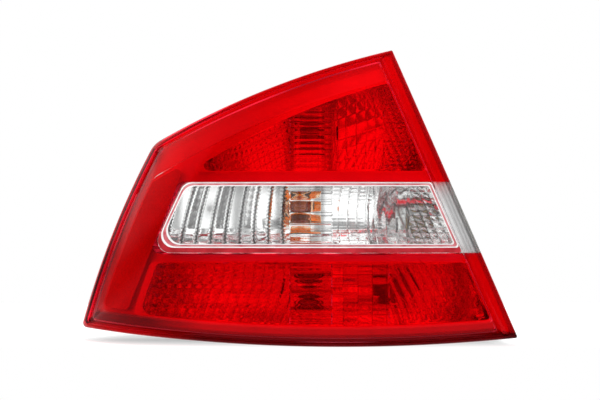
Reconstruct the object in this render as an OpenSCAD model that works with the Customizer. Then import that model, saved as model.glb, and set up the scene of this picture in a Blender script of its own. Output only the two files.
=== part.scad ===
// Rear lamp cluster for the left side of a car.
// X points to the car's middle, Y points forward into the body, Z points up.
// The origin is the centre of the four fixing studs, on the plane where the lamp meets the body.

/* [Outline seen from behind the car] */
// Top corner, right of the stud centre
top_x = 83; // [60:1:110]
// Top corner, above the stud centre
top_z = 175; // [160:1:190]
// Shoulder where the top edge meets the outer edge, left of the stud centre
shoulder_x = 132; // [120:1:145]
// Shoulder, above the stud centre
shoulder_z = 90.5; // [80:0.5:100]
// Lower outer corner, left of the stud centre
outer_x = 197.5; // [185:0.5:210]
// Lower outer corner, below the stud centre
outer_z = 74.5; // [65:0.5:85]
// Lower inner corner, right of the stud centre
inner_x = 196; // [185:1:210]
// Lower inner corner, below the stud centre
inner_z = 84; // [75:1:95]
// Radius of the bowed top edge
top_r = 794; // [600:1:1200]
// Radius of the bowed outer edge
outer_r = 778; // [600:1:1200]
// Radius of the bowed bottom edge
bottom_r = 1568; // [1200:1:2400]
// Rounding of the shoulder
shoulder_r = 24; // [20:1:30]
// Rounding of the lower outer corner
toe_r = 4; // [2:0.5:6]
// Rounding of the two sharp inner corners
tip_r = 1.5; // [1:0.5:3]

/* [Curved face] */
// Foremost point of the face, ahead of the body plane
face_reach = 92; // [86:1:100]
// Height of the foremost point, below the stud centre
crown_drop = 20; // [0:1:40]
// Radius of the face from top to bottom
crown_r = 900; // [700:10:1500]
// Radius of the face from side to side
plan_r = 1300; // [1000:10:2000]
// Foremost point, right of the stud centre
plan_x = 60; // [30:1:90]
// Width over which the face turns round the car's corner
wrap_w = 60; // [50:1:70]
// Radius of that turn
wrap_r = 72; // [71:1:90]

/* [Lens] */
// Thickness of the lens
lens_wall = 3; // [2.5:0.1:3.5]
// Length of the leg behind the window plane, down to the sealant
leg_l = 14; // [13:0.5:16]
// Thickness of the leg
leg_wall = 2.8; // [2:0.1:3.5]
// Width of the rounded edge bead at the top and bottom
bead_w = 4.5; // [4:0.1:6]
// Width of the edge bead along the inner side
inner_bead_w = 11.5; // [9:0.1:13]
// Width of the groove inside the bead
groove_w = 2.6; // [2:0.1:3.5]
// Depth of the groove floor below the window plane
groove_d = 7; // [6:0.1:8]
// Depth of the bead's crest below the window plane
bead_d = 4.4; // [3.5:0.1:5]
// Width of the sloping border above the windows
top_slope_w = 12; // [8:0.5:14]
// Width of the flat border above that slope
top_flat_w = 6.5; // [4:0.5:9]
// Width of the sloping border below the windows
bottom_slope_w = 6.5; // [5:0.5:9]

/* [Windows] */
// Border between the inner edge and the windows
inner_border = 15.5; // [15:0.1:18]
// Width of the side zone left of the lower window
side_zone_w = 43.5; // [40:0.5:50]
// Width of the side zone left of the clear window
clear_side_w = 36.5; // [34:0.5:40]
// Border between the bottom edge and the lower window
lower_border = 17.5; // [16:0.5:20]
// Left tip of the upper window, left of the stud centre
tip_x = 97; // [85:1:105]
// Lower edge of the upper window, above the stud centre
upper_z = 66; // [62:1:70]
// Height of the upper window's right corner
upper_top_z = 145; // [135:1:150]
// Radius of the upper window's bowed top
upper_bow_r = 350; // [250:1:600]
// Upper edge of the clear window, above the stud centre
clear_top_z = 56.5; // [52:0.5:60]
// Lower edge of the clear window, below the stud centre
clear_low_z = 9.5; // [6:0.5:12]
// Upper edge of the lower window, below the stud centre
lower_top_z = 16; // [14:0.5:20]
// Width of the plain rim inside the clear window's edge
rim_w = 5; // [4:0.5:7]
// Width of the groove in that rim
rim_groove_w = 2.2; // [1.5:0.1:3]
// Depth of that groove
rim_groove_d = 1; // [0.6:0.1:1.4]

/* [Optics on the back of the lens] */
// Pitch of the upright flutes
flute_pitch = 10; // [8:0.5:14]
// Pitch of the upright flutes in the clear window
clear_pitch = 7; // [6:0.5:10]
// Pitch of the bowed flutes in the clear window
bow_pitch = 12; // [10:0.5:16]
// Pitch of the level flutes in front of the bulbs
level_pitch = 5.6; // [4.5:0.1:8]
// Pitch of the pillows
pillow_pitch = 12; // [9:0.5:15]
// Height of the flutes and pillows
flute_h = 1.5; // [1:0.1:2]
// Width of the band of level flutes
level_w = 38; // [30:1:46]

/* [Housing] */
// Plane of the housing's back, ahead of the body plane
back_y = 5; // [4:0.5:6]
// Wall of the housing
case_wall = 2.5; // [2:0.1:3.5]
// Width of the housing's rim flange
rim_flange_w = 7.3; // [6.5:0.1:9]
// Thickness of the rim flange
rim_flange_t = 4; // [3:0.1:5]
// Taper of the housing's top wall, front to back
top_taper = 20; // [18:1:24]
// Taper of the housing's outer wall
outer_taper = 14; // [12:1:16]
// Taper of the housing's bottom wall
bottom_taper = 10; // [8:1:12]
// Taper of the housing's inner wall
inner_taper = 6; // [4:1:8]
// Height of the sealant bead between the leg and the rim
sealant_h = 2; // [1.5:0.1:3]

/* [Fixing] */
// Spacing of the studs from side to side
stud_dx = 216; // [208:1:220]
// Spacing of the studs from top to bottom
stud_dz = 120; // [112:1:124]
// Radius of the studs
stud_r = 3; // [2.5:0.5:4]
// Length of the studs behind the body plane
stud_l = 20; // [14:1:30]
// Radius of the locating peg
peg_r = 4; // [3:0.5:5]
// Length of the locating peg behind the body plane
peg_l = 12; // [8:1:16]

/* [Bulbs] */
// Radius of the bulb glass
globe_r = 12.5; // [11:0.5:13]
// Radius of the bulb's metal cap
cap_r = 7.5; // [7:0.1:8]
// Length of the bulb's metal cap
cap_l = 18; // [16:1:20]
// Distance from the cap's rear end to the centre of the glass
globe_l = 38; // [36:1:40]
// Radius of the side bulb's glass
wedge_r = 5.1; // [4.5:0.1:5.5]
// Wall of the socket sleeves
sleeve_t = 0.8; // [0.6:0.1:1.2]
// Play between a bulb cap and its sleeve
cap_play = 0.2; // [0.1:0.05:0.4]
// Radius of the carrier plate round each bulb
carrier_r = 20; // [18:0.5:21]
// Thickness of the carrier plate
carrier_t = 3; // [2.5:0.1:4]
// Stop bulb, right of and above the stud centre
stop_at = [10, 102]; // [-20:1:120]
// Amber turn bulb
turn_at = [0, 32]; // [-20:1:120]
// Reverse bulb
reverse_at = [108, 20]; // [0:1:120]
// Tail bulb
tail_at = [8, -44]; // [-60:1:60]
// Fog bulb
fog_at = [80, -44]; // [-60:1:90]
// Side bulb
side_at = [-146, -12]; // [-150:1:0]

/* [Reflectors] */
// Wall of the reflectors
mirror_wall = 2; // [1.5:0.1:2.5]
// Deepest point of the bowls, ahead of the body plane
bowl_back = 20; // [18:0.5:24]
// Half width of the upper and middle bowls at their front
bowl_w = 109; // [100:1:120]
// Depth of the bezel behind the lens face
bezel_d = 11; // [10.5:0.1:12]
// Thickness of the bezel
bezel_t = 1.4; // [1.2:0.1:2]
// Depth of the reflectors' front edges behind the lens face
mirror_d = 14.2; // [14:0.1:16]

/* [Plug socket] */
// Inside width of the plug socket
plug_w = 10; // [8:0.5:14]
// Inside height of the plug socket
plug_h = 48; // [46:1:56]
// Length of the plug socket behind the carrier plate
plug_l = 21; // [18:1:26]
// Pitch of the contact pins
pin_pitch = 8; // [7.5:0.5:8]

/* [Hidden] */

far = 40000;            // radius of an edge that is all but straight
past = 1;               // how far a cut runs past what it cuts
slip = 0.05;            // play between pieces pressed together
long_steps = 12;        // points along the top and bottom edges
side_steps = 6;         // points along the other edges
fillet_steps = 3;       // points round one corner
far_steps = 120;        // facets round a reflector bowl
inset_tip_r = 3;        // corner radii of the outline moved well inwards
inset_shoulder_r = 10;
inset_toe_r = 7;
window_r = 3;           // rounding of the windows' sharp corners
clear_tip_r = 2;
clear_round_r = 9;      // rounding of the clear window's outer corners
lower_round_r = 6;
outer_flat_w = 2;       // widths of the flat border beside and below the slopes
bottom_flat_w = 3.5;
inner_flat_w = 0.4;
outer_slope_w = 4.5;
inner_slope_w = 1;
flat_drop = 0.7;        // depth of the flat border's outer edge, as a share of the bead's
groove_slope = 0.4;     // how far the groove's walls lean
bead_shape = [[0.9, 0.6], [0.5, 0], [0.12, 1]]; // share of the bead's width and depth below its crest
edge_drop = 2.6;        // depth of the outer edge below the bead's crest
inside_slope = 0.6;     // how far the wall behind the groove leans
sunk = 0.3;             // how deep the optics are rooted in the back of the lens
slice_t = 0.1;
optics_border = 2;      // plain border round the optics of the red windows
crowding = 1.7;         // how closely points gather where the face turns
flutes_x = 98;          // right end of the upright flutes
fan_x = 80;             // left end of the leaning flutes in the lower window
fan_spread = 24;        // how far the bowed flutes' tops lean towards the middle
fan_bow = 3;
face_mid = [15, 55];    // middle of the face
screw_r = 1.5;
screw_play = 0.2;
screw_head_r = 3.5;
screw_head_t = 2;
stud_root_r = 3.5;
collar_r = 6;
collar_gap = 0.5;
boss_r = 7;
boss_l = 9;
seal_t = 1.5;
opening_r = 14.5;       // housing opening round each bulb
sealant_gap = 0.5;
vent_plug_l = 4;
gasket_play = 0.5;
seal_lap = 2;           // how far the carrier plate runs past its seal
strip_w = 3;
strip_t = 0.8;
strip_pad = 0.5;        // how far a strip widens at its ends
strip_play = 0.3;
pin_r = 1.1;
pin_l = 12;
socket_wall = 1.8;
cap_t = 0.5;
neck_in = 4;            // how deep the glass sits in its cap
lug_in = 6.7;           // bayonet lugs, behind the cap's front end
lug_r = 1;
lug_l = 1.4;
slot_play = 0.3;
contact_r = 3;
vent_hole_r = 3;
vent_cap_r = 6;
vent_cap_t = 3;
holder_r = 8;
holder_flange_r = 10;
holder_l = 12;
bezel_in = 5;           // how far the bezel lies in from the lamp's outline
ear_pad_r = 3.5;
ear_boss_r = 5;
wedge_in = 5;           // how deep the side bulb sits in its holder
wedge_l = 20;
post_r = 4;
screw_grip = 8;         // how deep a screw bites into a post
reflex_in = 15.5;       // border between the outer edge and the reflex plate
reflex_t = 2.5;
reflex_top = 30;        // borders over and under the reflex plate
reflex_bottom = 21;
reflex_r = 4;
reflex_gap = 0.7;
reflex_lap = 6;         // how far the bezel reaches in behind the reflex plate
reverse_bowl_w = 60;
lower_bowl_w = 134;
tail_bowl_dx = 35;      // how far the tail bulb's bowl is centred outside the bulb
fog_bowl_w = 87;
wing_x = -80;           // middle of the flatter bowl outside the turn bulb's
wing_bowl_w = 150;
wing_drop = 2.3;        // how much deeper the two lower reflectors' front edges lie, to clear the bezel's turn

bulbs = [stop_at, turn_at, reverse_at, tail_at, fog_at];
vents = [[-60, 62], [-45, -60]];
peg_at = [-122, -40];
ears = [[-17, 70], [72, 79], [44, -64.5]];
ear_r = 6;
plug_at = [52, 24];

// Points and arcs in the view from behind, [x, z]

function bearing(from, to) = atan2(to.y - from.y, to.x - from.x);

function turn(angle) = angle - 360 * floor(angle / 360);

// How far along an arc point t lies when points gather at its start (1), at its end (-1) or nowhere (0)
function eased(t, crowd) = crowd > 0 ? pow(t, crowding) : crowd < 0 ? 1 - pow(1 - t, crowding) : t;

function arc(centre, r, from, to, steps, crowd = 0) = [
    for (k = [0 : steps - 1])
        let (angle = from + turn(to - from) * eased(k / steps, crowd))
        centre + r * [cos(angle), sin(angle)]
];

// Centre of the arc of radius r that runs from p to q and bulges to the right
function arc_centre(p, q, r) =
    let (chord = q - p)
    (p + q) / 2 + sqrt(r * r - chord * chord / 4) * [-chord.y, chord.x] / norm(chord);

// An edge is [centre, radius, crowd, points]. An outline is a list of edges, taken anticlockwise.
top_corner = [top_x, top_z];
shoulder = [-shoulder_x, shoulder_z];
toe = [-outer_x, -outer_z];
inner_corner = [inner_x, -inner_z];
function top_edge(t) = [arc_centre(top_corner, shoulder, top_r), top_r - t, -1, long_steps];
function outer_edge(t) = [arc_centre(shoulder, toe, outer_r), outer_r - t, 0, side_steps];
function bottom_edge(t) = [arc_centre(toe, inner_corner, bottom_r), bottom_r - t, 1, long_steps];
function inner_edge(t) = [arc_centre(inner_corner, top_corner, far), far - t, 0, side_steps];
function level_top(z) = [[0, z - far], far, 0, side_steps];
function level_bottom(z) = [[0, z + far], far, 0, side_steps];
function plumb_right(x) = [[x - far, 0], far, 0, 1];

// Corner where edge a gives way to edge b
function meet(a, b) =
    let (
        gap = b[0] - a[0],
        d = norm(gap),
        along = (d * d + a[1] * a[1] - b[1] * b[1]) / (2 * d),
        across = sqrt(a[1] * a[1] - along * along)
    )
    a[0] + (along * gap + across * [-gap.y, gap.x]) / d;

function fillet_centre(a, b, r) = meet([a[0], a[1] - r], [b[0], b[1] - r]);

// Closed outline of edges, where rounds[i] is the radius of the corner before edge i
function outline(edges, rounds) =
    let (n = len(edges))
    [
        for (i = [0 : n - 1])
            let (
                before = edges[(i + n - 1) % n],
                edge = edges[i],
                start = fillet_centre(before, edge, rounds[i]),
                end = fillet_centre(edge, edges[(i + 1) % n], rounds[(i + 1) % n]),
                from = bearing(edge[0], start)
            )
            each concat(
                arc(start, rounds[i], bearing(before[0], start), from, fillet_steps),
                arc(edge[0], edge[1], from, bearing(edge[0], end), edge[3], edge[2])
            )
    ];

function rounded(t) = [
    max(tip_r, min(t / 4, inset_tip_r)),
    max(shoulder_r - t, inset_shoulder_r),
    max(toe_r, min(t / 2, inset_toe_r)),
    max(tip_r, min(t / 4, inset_tip_r))
];

// Outline of the lamp, moved inwards by the four widths [top, outer, bottom, inner]
function lamp_outline(in) = outline(
    [top_edge(in[0]), outer_edge(in[1]), bottom_edge(in[2]), inner_edge(in[3])],
    rounded(min(in))
);

function all_round(t) = [t, t, t, t];

upper_corner = meet(inner_edge(inner_border), level_top(upper_top_z));
upper_tip = [-tip_x, upper_z];
function upper_bow(t) = [arc_centre(upper_corner, upper_tip, upper_bow_r), upper_bow_r - t, 0, side_steps];

// Edges of the three windows, moved inwards by t
function upper_edges(t) = [upper_bow(t), level_bottom(upper_z + t), inner_edge(inner_border + t)];
function clear_edges(t) = [
    level_top(clear_top_z - t), outer_edge(clear_side_w + t), level_bottom(t - clear_low_z),
    inner_edge(inner_border + t)
];
function lower_edges(t) = [
    level_top(-lower_top_z - t), outer_edge(side_zone_w + t), bottom_edge(lower_border + t),
    inner_edge(inner_border + t)
];

function upper_window(t) = outline(upper_edges(t), all_round(window_r));
function clear_window(t) = outline(
    clear_edges(t),
    [clear_tip_r, max(clear_round_r - t, clear_tip_r), max(clear_round_r - t, clear_tip_r), clear_tip_r]
);
function lower_window(t) = outline(lower_edges(t), [window_r, lower_round_r, lower_round_r, window_r]);
// What is moulded in clear plastic: the clear window and the stretch of border and bead beside it
clear_area = outline(
    [level_top(clear_top_z), outer_edge(clear_side_w), level_bottom(-clear_low_z), plumb_right(inner_x)],
    [1, clear_round_r, clear_round_r, 1]
);

// Height field of the face

function bow(r, d) = r - sqrt(r * r - d * d);

function outer_x_at(z) =
    let (edge = outer_edge(0))
    edge[0].x - sqrt(edge[1] * edge[1] - pow(z - edge[0].y, 2));

function wrap_at(s) = s < wrap_w ? bow(wrap_r, wrap_w - max(s, 0)) : 0;

function face_y(p) =
    bow(crown_r, p.y + crown_drop) + bow(plan_r, p.x - plan_x) + wrap_at(p.x - outer_x_at(p.y)) - face_reach;

// Rings that loft the pieces
function on_face(points, depth) = [for (p = points) [p.x, face_y(p) + depth, p.y]];

function on_plane(points, y) = [for (p = points) [p.x, y, p.y]];

function shrunk(points, middle, k) = [for (p = points) middle + k * (p - middle)];

// Solid through rings of equal length, capped at its first and last ring, or closed on itself
module loft(rings, closed = false) {
    n = len(rings[0]);
    count = len(rings);
    sides = [
        for (i = [0 : count - (closed ? 1 : 2)], k = [0 : n - 1])
            let (
                a = i * n + k,
                b = i * n + (k + 1) % n,
                c = (i + 1) % count * n + (k + 1) % n,
                d = (i + 1) % count * n + k
            )
            each [[a, b, c], [a, c, d]]
    ];
    caps = [[for (k = [n - 1 : -1 : 0]) k], [for (k = [0 : n - 1]) (count - 1) * n + k]];
    polyhedron([for (ring = rings) each ring], closed ? sides : concat(sides, caps));
}

// Straight prism along Y from y0 to y1
module prism(points, y0, y1) {
    translate([0, y1, 0])
        rotate([90, 0, 0])
            linear_extrude(y1 - y0)
                polygon(points);
}

// Round bar along Y from y0 to y1 at the place at
module bar(at, r, y0, y1, facets = 48) {
    translate([at.x, y1, at.y])
        rotate([90, 0, 0])
            cylinder(r = r, h = y1 - y0, $fn = facets);
}

// Lens

groove_in = [bead_w, bead_w, bead_w, inner_bead_w];
body_in = groove_in + all_round(groove_w);
flat_in = body_in + [top_flat_w, outer_flat_w, bottom_flat_w, inner_flat_w];
window_in = flat_in + [top_slope_w, outer_slope_w, bottom_slope_w, inner_slope_w];
face_steps = [0.3, 0.6, 0.8, 0.9, 0.96];
back_steps = [0.4, 0.7, 0.82, 0.9, 0.96];

// Front of the lens from the middle out to the end of its leg
front_rings = concat(
    [for (k = face_steps) on_face(shrunk(lamp_outline(window_in), face_mid, k), 0)],
    [
        on_face(lamp_outline(window_in), 0),
        on_face(lamp_outline(flat_in), bead_d * flat_drop),
        on_face(lamp_outline(body_in + all_round(groove_slope)), bead_d),
        on_face(lamp_outline(body_in), groove_d),
        on_face(lamp_outline(groove_in), groove_d),
        for (b = bead_shape) on_face(lamp_outline(groove_in * b[0]), bead_d + b[1]),
        on_face(lamp_outline(all_round(0)), bead_d + edge_drop),
        on_face(lamp_outline(all_round(0)), leg_l)
    ]
);

// Back of the lens from the end of its leg in to the middle
inside_in = body_in + all_round(groove_w / 2);
back_rings = concat(
    [
        on_face(lamp_outline(all_round(leg_wall)), leg_l),
        on_face(lamp_outline(all_round(leg_wall)), groove_d + lens_wall),
        on_face(lamp_outline(inside_in), groove_d + lens_wall),
        on_face(lamp_outline(inside_in + all_round(inside_slope)), bead_d + lens_wall),
        on_face(lamp_outline(window_in + all_round(1)), lens_wall)
    ],
    [
        for (i = [len(back_steps) - 1 : -1 : 0])
            on_face(shrunk(lamp_outline(window_in + all_round(1)), face_mid, back_steps[i]), lens_wall)
    ]
);

module lens_shell() {
    loft(concat(front_rings, back_rings));
}

// One end slice of a flute on the back of the lens, level for an upright flute
module flute_slice(at, w, upright) {
    translate([at.x, face_y(at) + lens_wall - sunk, at.y])
        scale(upright ? [w / 2, flute_h, 1] : [1, flute_h, w / 2])
            rotate(upright ? [0, 0, 0] : [0, 90, 0])
                cylinder(r = 1, h = slice_t, $fn = 8);
}

// Flute that runs through the places given
module flute(places, w, upright = true) {
    for (i = [0 : len(places) - 2])
        hull() {
            flute_slice(places[i], w, upright);
            flute_slice(places[i + 1], w, upright);
        }
}

// Upright flutes from x0 to x1 between z0 and z1, whose tops lean outwards by lean
module upright_flutes(x0, x1, z0, z1, pitch, lean = 0) {
    count = round((x1 - x0) / pitch);
    step = (x1 - x0) / count;
    for (i = [0 : count - 1])
        let (x = x0 + (i + 0.5) * step)
        flute([[x - lean * (z0 - z1) / 2, z0], [x, (z0 + z1) / 2], [x + lean * (z0 - z1) / 2, z1]], step);
}

module level_flutes(x0, x1, z0, z1) {
    count = round((z1 - z0) / level_pitch);
    step = (z1 - z0) / count;
    for (i = [0 : count - 1])
        let (z = z0 + (i + 0.5) * step)
        flute([[x0, z], [x1, z]], step, false);
}

// True if a place lies at least in from every edge
function well_in(place, edges, in) = min([for (e = edges) e[1] - norm(place - e[0])]) > in;

// Pillows from x0 to x1 between z0 and z1, in rows that step outwards by lean.
// Only those that lie whole inside the edges are there.
module pillows(x0, x1, z0, z1, edges, lean = 0) {
    rows = round((z1 - z0) / pillow_pitch);
    columns = round((x1 - x0) / pillow_pitch);
    for (j = [0 : rows - 1], i = [0 : columns - 1])
        let (
            z = z0 + (j + 0.5) * (z1 - z0) / rows,
            x = x0 + (i + 0.5) * (x1 - x0) / columns - lean * (z - z0),
            at = [x, z]
        )
        if (well_in(at, edges, pillow_pitch / 2))
            translate([x, face_y(at) + lens_wall - sunk, z])
                scale([pillow_pitch / 2, flute_h, pillow_pitch / 2])
                    sphere(r = 1, $fn = 6);
}

level_x = stop_at.x - level_w / 2;      // left end of the level flutes
level_end_x = stop_at.x + level_w / 2;
inner_lean = (inner_x - top_x) / (top_z + inner_z);

function inner_x_at(z) = inner_x - inner_lean * (z + inner_z);

module upper_optics() {
    edges = upper_edges(optics_border);
    intersection() {
        union() {
            pillows(-tip_x, level_x, upper_z, upper_top_z, edges);
            level_flutes(level_x, level_end_x, upper_z, upper_top_z);
            upright_flutes(level_end_x, flutes_x, upper_z, upper_top_z, flute_pitch);
            pillows(flutes_x, inner_x_at(upper_z), upper_z, upper_top_z, edges, inner_lean);
        }
        prism(upper_window(optics_border), -face_reach, 0);
    }
}

module lower_optics() {
    intersection() {
        union() {
            pillows(-outer_x + side_zone_w, level_x, -outer_z, -lower_top_z, lower_edges(optics_border));
            level_flutes(level_x, level_end_x, -outer_z, -lower_top_z);
            upright_flutes(level_end_x, fan_x, -outer_z, -lower_top_z, 2 * flute_pitch);
            upright_flutes(fan_x, inner_x - inner_border, -outer_z, -lower_top_z, flute_pitch, inner_lean);
        }
        prism(lower_window(optics_border), -face_reach, 0);
    }
}

// Fan of bowed flutes in the outer part of the clear window
module bowed_flutes() {
    foot = -outer_x + clear_side_w + fan_spread;
    head = foot + fan_spread;
    count = round((level_x - foot) / bow_pitch);
    for (i = [0 : count - 1])
        let (
            low = foot + (i + 0.5) * (level_x - foot) / count,
            high = head + (i + 0.5) * (level_x - head) / count
        )
        flute(
            [
                [low, -clear_low_z],
                [(low + high) / 2 - fan_bow, (clear_top_z - clear_low_z) / 2],
                [high, clear_top_z]
            ],
            bow_pitch
        );
}

module clear_optics() {
    edges = clear_edges(rim_w);
    intersection() {
        union() {
            bowed_flutes();
            level_flutes(level_x, level_end_x, -clear_low_z, clear_top_z);
            upright_flutes(level_end_x, flutes_x, -clear_low_z, clear_top_z, clear_pitch);
            pillows(flutes_x, inner_x_at(-clear_low_z), -clear_low_z, clear_top_z, edges, inner_lean);
        }
        prism(clear_window(rim_w), -face_reach, 0);
    }
}

// Groove in the rim of the clear window
module rim_groove() {
    near = clear_window(rim_w - rim_groove_w);
    inside = clear_window(rim_w);
    loft(
        [
            on_face(inside, -past),
            on_face(near, -past),
            on_face(near, rim_groove_d),
            on_face(inside, rim_groove_d)
        ],
        closed = true
    );
}

module red_lens() {
    color("red", 0.7)
        difference() {
            union() {
                lens_shell();
                upper_optics();
                lower_optics();
            }
            prism(clear_area, -face_reach - past, past);
        }
}

module clear_lens() {
    color("white", 0.5)
        difference() {
            union() {
                intersection() {
                    lens_shell();
                    prism(clear_area, -face_reach - past, past);
                }
                clear_optics();
            }
            rim_groove();
        }
}

// Housing

module lens_sealant() {
    inside = lamp_outline(all_round(leg_wall));
    outside = lamp_outline(all_round(0));
    color("dimgray")
        loft(
            [
                on_face(inside, leg_l + sealant_gap),
                on_face(outside, leg_l + sealant_gap),
                on_face(outside, rim_y - sealant_gap),
                on_face(inside, rim_y - sealant_gap)
            ],
            closed = true
        );
}

rim_y = leg_l + sealant_h;      // front of the housing's rim, behind the window plane
taper = [top_taper, outer_taper, bottom_taper, inner_taper];
wall_in = all_round(case_wall);
rim_in = all_round(rim_flange_w);
back_in = rim_in - wall_in + taper;
floor_y = -back_y - case_wall;

module housing_shell() {
    loft([
        on_plane(lamp_outline(back_in + wall_in * 2), floor_y),
        on_plane(lamp_outline(back_in + wall_in), floor_y - case_wall),
        on_face(lamp_outline(rim_in), rim_y + 1),
        on_face(lamp_outline(rim_in), rim_y),
        on_face(lamp_outline(all_round(0)), rim_y),
        on_face(lamp_outline(all_round(0)), rim_y + rim_flange_t),
        on_face(lamp_outline(rim_in - wall_in), rim_y + rim_flange_t),
        on_plane(lamp_outline(back_in), floor_y),
        on_plane(lamp_outline(back_in + wall_in), -back_y)
    ]);
}

module bulb_field(r) {
    hull()
        for (at = bulbs)
            translate(at)
                circle(r = r, $fn = 48);
}

// Flat piece along Y from y0 to y1, drawn by its children as seen from behind
module sheet(y0, y1) {
    translate([0, y1, 0])
        rotate([90, 0, 0])
            linear_extrude(y1 - y0)
                children();
}

reflector_posts = [[-38, 92], [78, 112], [-95, 25], [-48, 30], [-75, -44], [138, -46]];
boss_front = back_y + boss_l;

module housing() {
    color("#3a3a3c")
        difference() {
            union() {
                housing_shell();
                for (x = [-0.5, 0.5], z = [-0.5, 0.5])
                    bar([x * stud_dx, z * stud_dz], boss_r, -boss_front, -back_y - past);
                for (at = ears)
                    bar(at, ear_boss_r, -boss_front, -back_y - past);
                bar(peg_at, collar_r, -back_y - past, -collar_gap);
                bar(peg_at, peg_r, -collar_gap, peg_l);
            }
            sheet(-boss_front - past, past)
                bulb_field(opening_r);
            for (x = [-0.5, 0.5], z = [-0.5, 0.5])
                bar([x * stud_dx, z * stud_dz], stud_root_r, past - boss_front, past);
            for (at = ears)
                bar(at, screw_r, past - boss_front, past);
            for (at = reflector_posts)
                bar(at, screw_r + screw_play, -boss_front, past);
            for (at = vents)
                bar(at, vent_hole_r, -boss_front, past);
            bar(side_at, holder_r, -boss_front, past);
        }
}

// Studs pressed into the housing's bosses, with collars that keep the gasket from being crushed
module mounting_studs() {
    color("silver")
        for (x = [-0.5, 0.5], z = [-0.5, 0.5])
            let (at = [x * stud_dx, z * stud_dz]) {
                bar(at, stud_root_r, past - boss_front, -back_y);
                bar(at, collar_r, -back_y, -collar_gap);
                bar(at, stud_r, -collar_gap, stud_l);
            }
}

module vent_caps() {
    color("#222222")
        for (at = vents) {
            bar(at, vent_hole_r - slip, -back_y - vent_plug_l, past - back_y);
            bar(at, vent_cap_r, -back_y, vent_cap_t - back_y);
        }
}

module body_gasket() {
    color("#1d1d1f")
        difference() {
            prism(lamp_outline(back_in + wall_in + all_round(gasket_play)), -back_y, 0);
            sheet(-back_y - past, past) {
                bulb_field(carrier_r + 1);
                for (at = ears)
                    translate(at)
                        circle(r = ear_r + gasket_play, $fn = 32);
            }
            for (x = [-0.5, 0.5], z = [-0.5, 0.5])
                bar([x * stud_dx, z * stud_dz], collar_r + gasket_play, -back_y - past, past);
            for (at = reflector_posts)
                bar(at, screw_head_r + gasket_play, -back_y - past, past);
            for (at = vents)
                bar(at, vent_cap_r + gasket_play, -back_y - past, past);
            bar(side_at, holder_flange_r + gasket_play, -back_y - past, past);
            bar(peg_at, collar_r + gasket_play, -back_y - past, past);
        }
}

// Reflectors

bowl_depth = face_reach - mirror_d - bowl_back;

function bowl_r(w) = (w * w + bowl_depth * bowl_depth) / (2 * bowl_depth);

// Bowls of a reflector, each [x, z, r] with its deepest point at x and z, grown by grow
module bowls(list, grow) {
    for (b = list)
        translate([b.x, -bowl_back - b.z, b.y])
            sphere(r = b.z + grow, $fn = far_steps);
}

// All that lies at least depth behind the face, for a reflector whose row is centred on height z
module behind_face(z, depth) {
    lean = asin((z + crown_drop) / crown_r);
    translate([plan_x, face_y([plan_x, z]) + depth, z])
        rotate([-lean, 0, 0])
            translate([0, plan_r, 0])
                cylinder(r = plan_r, h = 2 * upper_bow_r, center = true, $fn = 3 * far_steps);
}

// Moulded reflector: a row of bowls inside its window's outline, on posts that reach the housing's floor
module reflector(inside, outside, z, bowl_list, post_list, bulb_list, depth = mirror_d) {
    color("gainsboro")
        difference() {
            union() {
                intersection() {
                    prism(outside, -face_reach, 0);
                    bowls(bowl_list, mirror_wall);
                    behind_face(z, depth);
                }
                for (at = post_list)
                    bar(at, post_r, -face_reach, floor_y - slip);
            }
            intersection() {
                prism(inside, -face_reach - past, 0);
                bowls(bowl_list, 0);
            }
            for (at = bulb_list)
                bar(at, globe_r + past, -face_reach, 0);
            for (at = post_list)
                bar(at, screw_r, floor_y - screw_grip, 0);
        }
}

module upper_reflector() {
    reflector(upper_window(0), upper_window(-mirror_wall / 2), stop_at.y, [[stop_at.x, stop_at.y, bowl_r(bowl_w)]],
        [reflector_posts[0], reflector_posts[1]], [stop_at]);
}

module middle_reflector() {
    reflector(clear_window(mirror_wall / 4), clear_window(-mirror_wall * 3 / 4), turn_at.y,
        [
            [wing_x, turn_at.y, bowl_r(wing_bowl_w)],
            [turn_at.x, turn_at.y, bowl_r(bowl_w)],
            [reverse_at.x, reverse_at.y, bowl_r(reverse_bowl_w)]
        ],
        [reflector_posts[2], reflector_posts[3]], [turn_at, reverse_at], mirror_d + wing_drop);
}

module lower_reflector() {
    reflector(lower_window(0), lower_window(-mirror_wall / 2), tail_at.y,
        [
            [tail_at.x - tail_bowl_dx, tail_at.y, bowl_r(lower_bowl_w)],
            [fog_at.x, fog_at.y, bowl_r(fog_bowl_w)]
        ],
        [reflector_posts[4], reflector_posts[5]], [tail_at, fog_at], mirror_d + wing_drop);
}

// Screw along Y whose head lies on the plane y0 and whose shank reaches y1
module screw(at, y0, y1) {
    bar(at, screw_head_r, y0, y0 + screw_head_t);
    bar(at, screw_r - slip, y1, y0);
}

module reflector_screws() {
    color("silver")
        for (at = reflector_posts)
            screw(at, -back_y, floor_y - screw_grip + past);
}

function reflex_right(z) = [outer_x_at(z) + clear_side_w, z];

function reflex_outline(t) = outline(
    [top_edge(reflex_top + t), outer_edge(reflex_in + t), bottom_edge(reflex_bottom + t),
        [arc_centre(reflex_right(-outer_z), reflex_right(shoulder_z), far), far - t, 0, side_steps]],
    all_round(reflex_r)
);

// Reflex plate behind the side zone
module side_reflex() {
    plate = reflex_outline(0);
    middle = reflex_right(0) - [clear_side_w - reflex_in, 0] / 2;
    steps = [0.3, 0.7, 1];
    front = lens_wall + reflex_gap;
    color("darkred")
        loft(concat(
            [for (k = steps) on_face(shrunk(plate, middle, k), front)],
            [for (i = [len(steps) - 1 : -1 : 0]) on_face(shrunk(plate, middle, steps[i]), front + reflex_t)]
        ));
}

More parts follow.
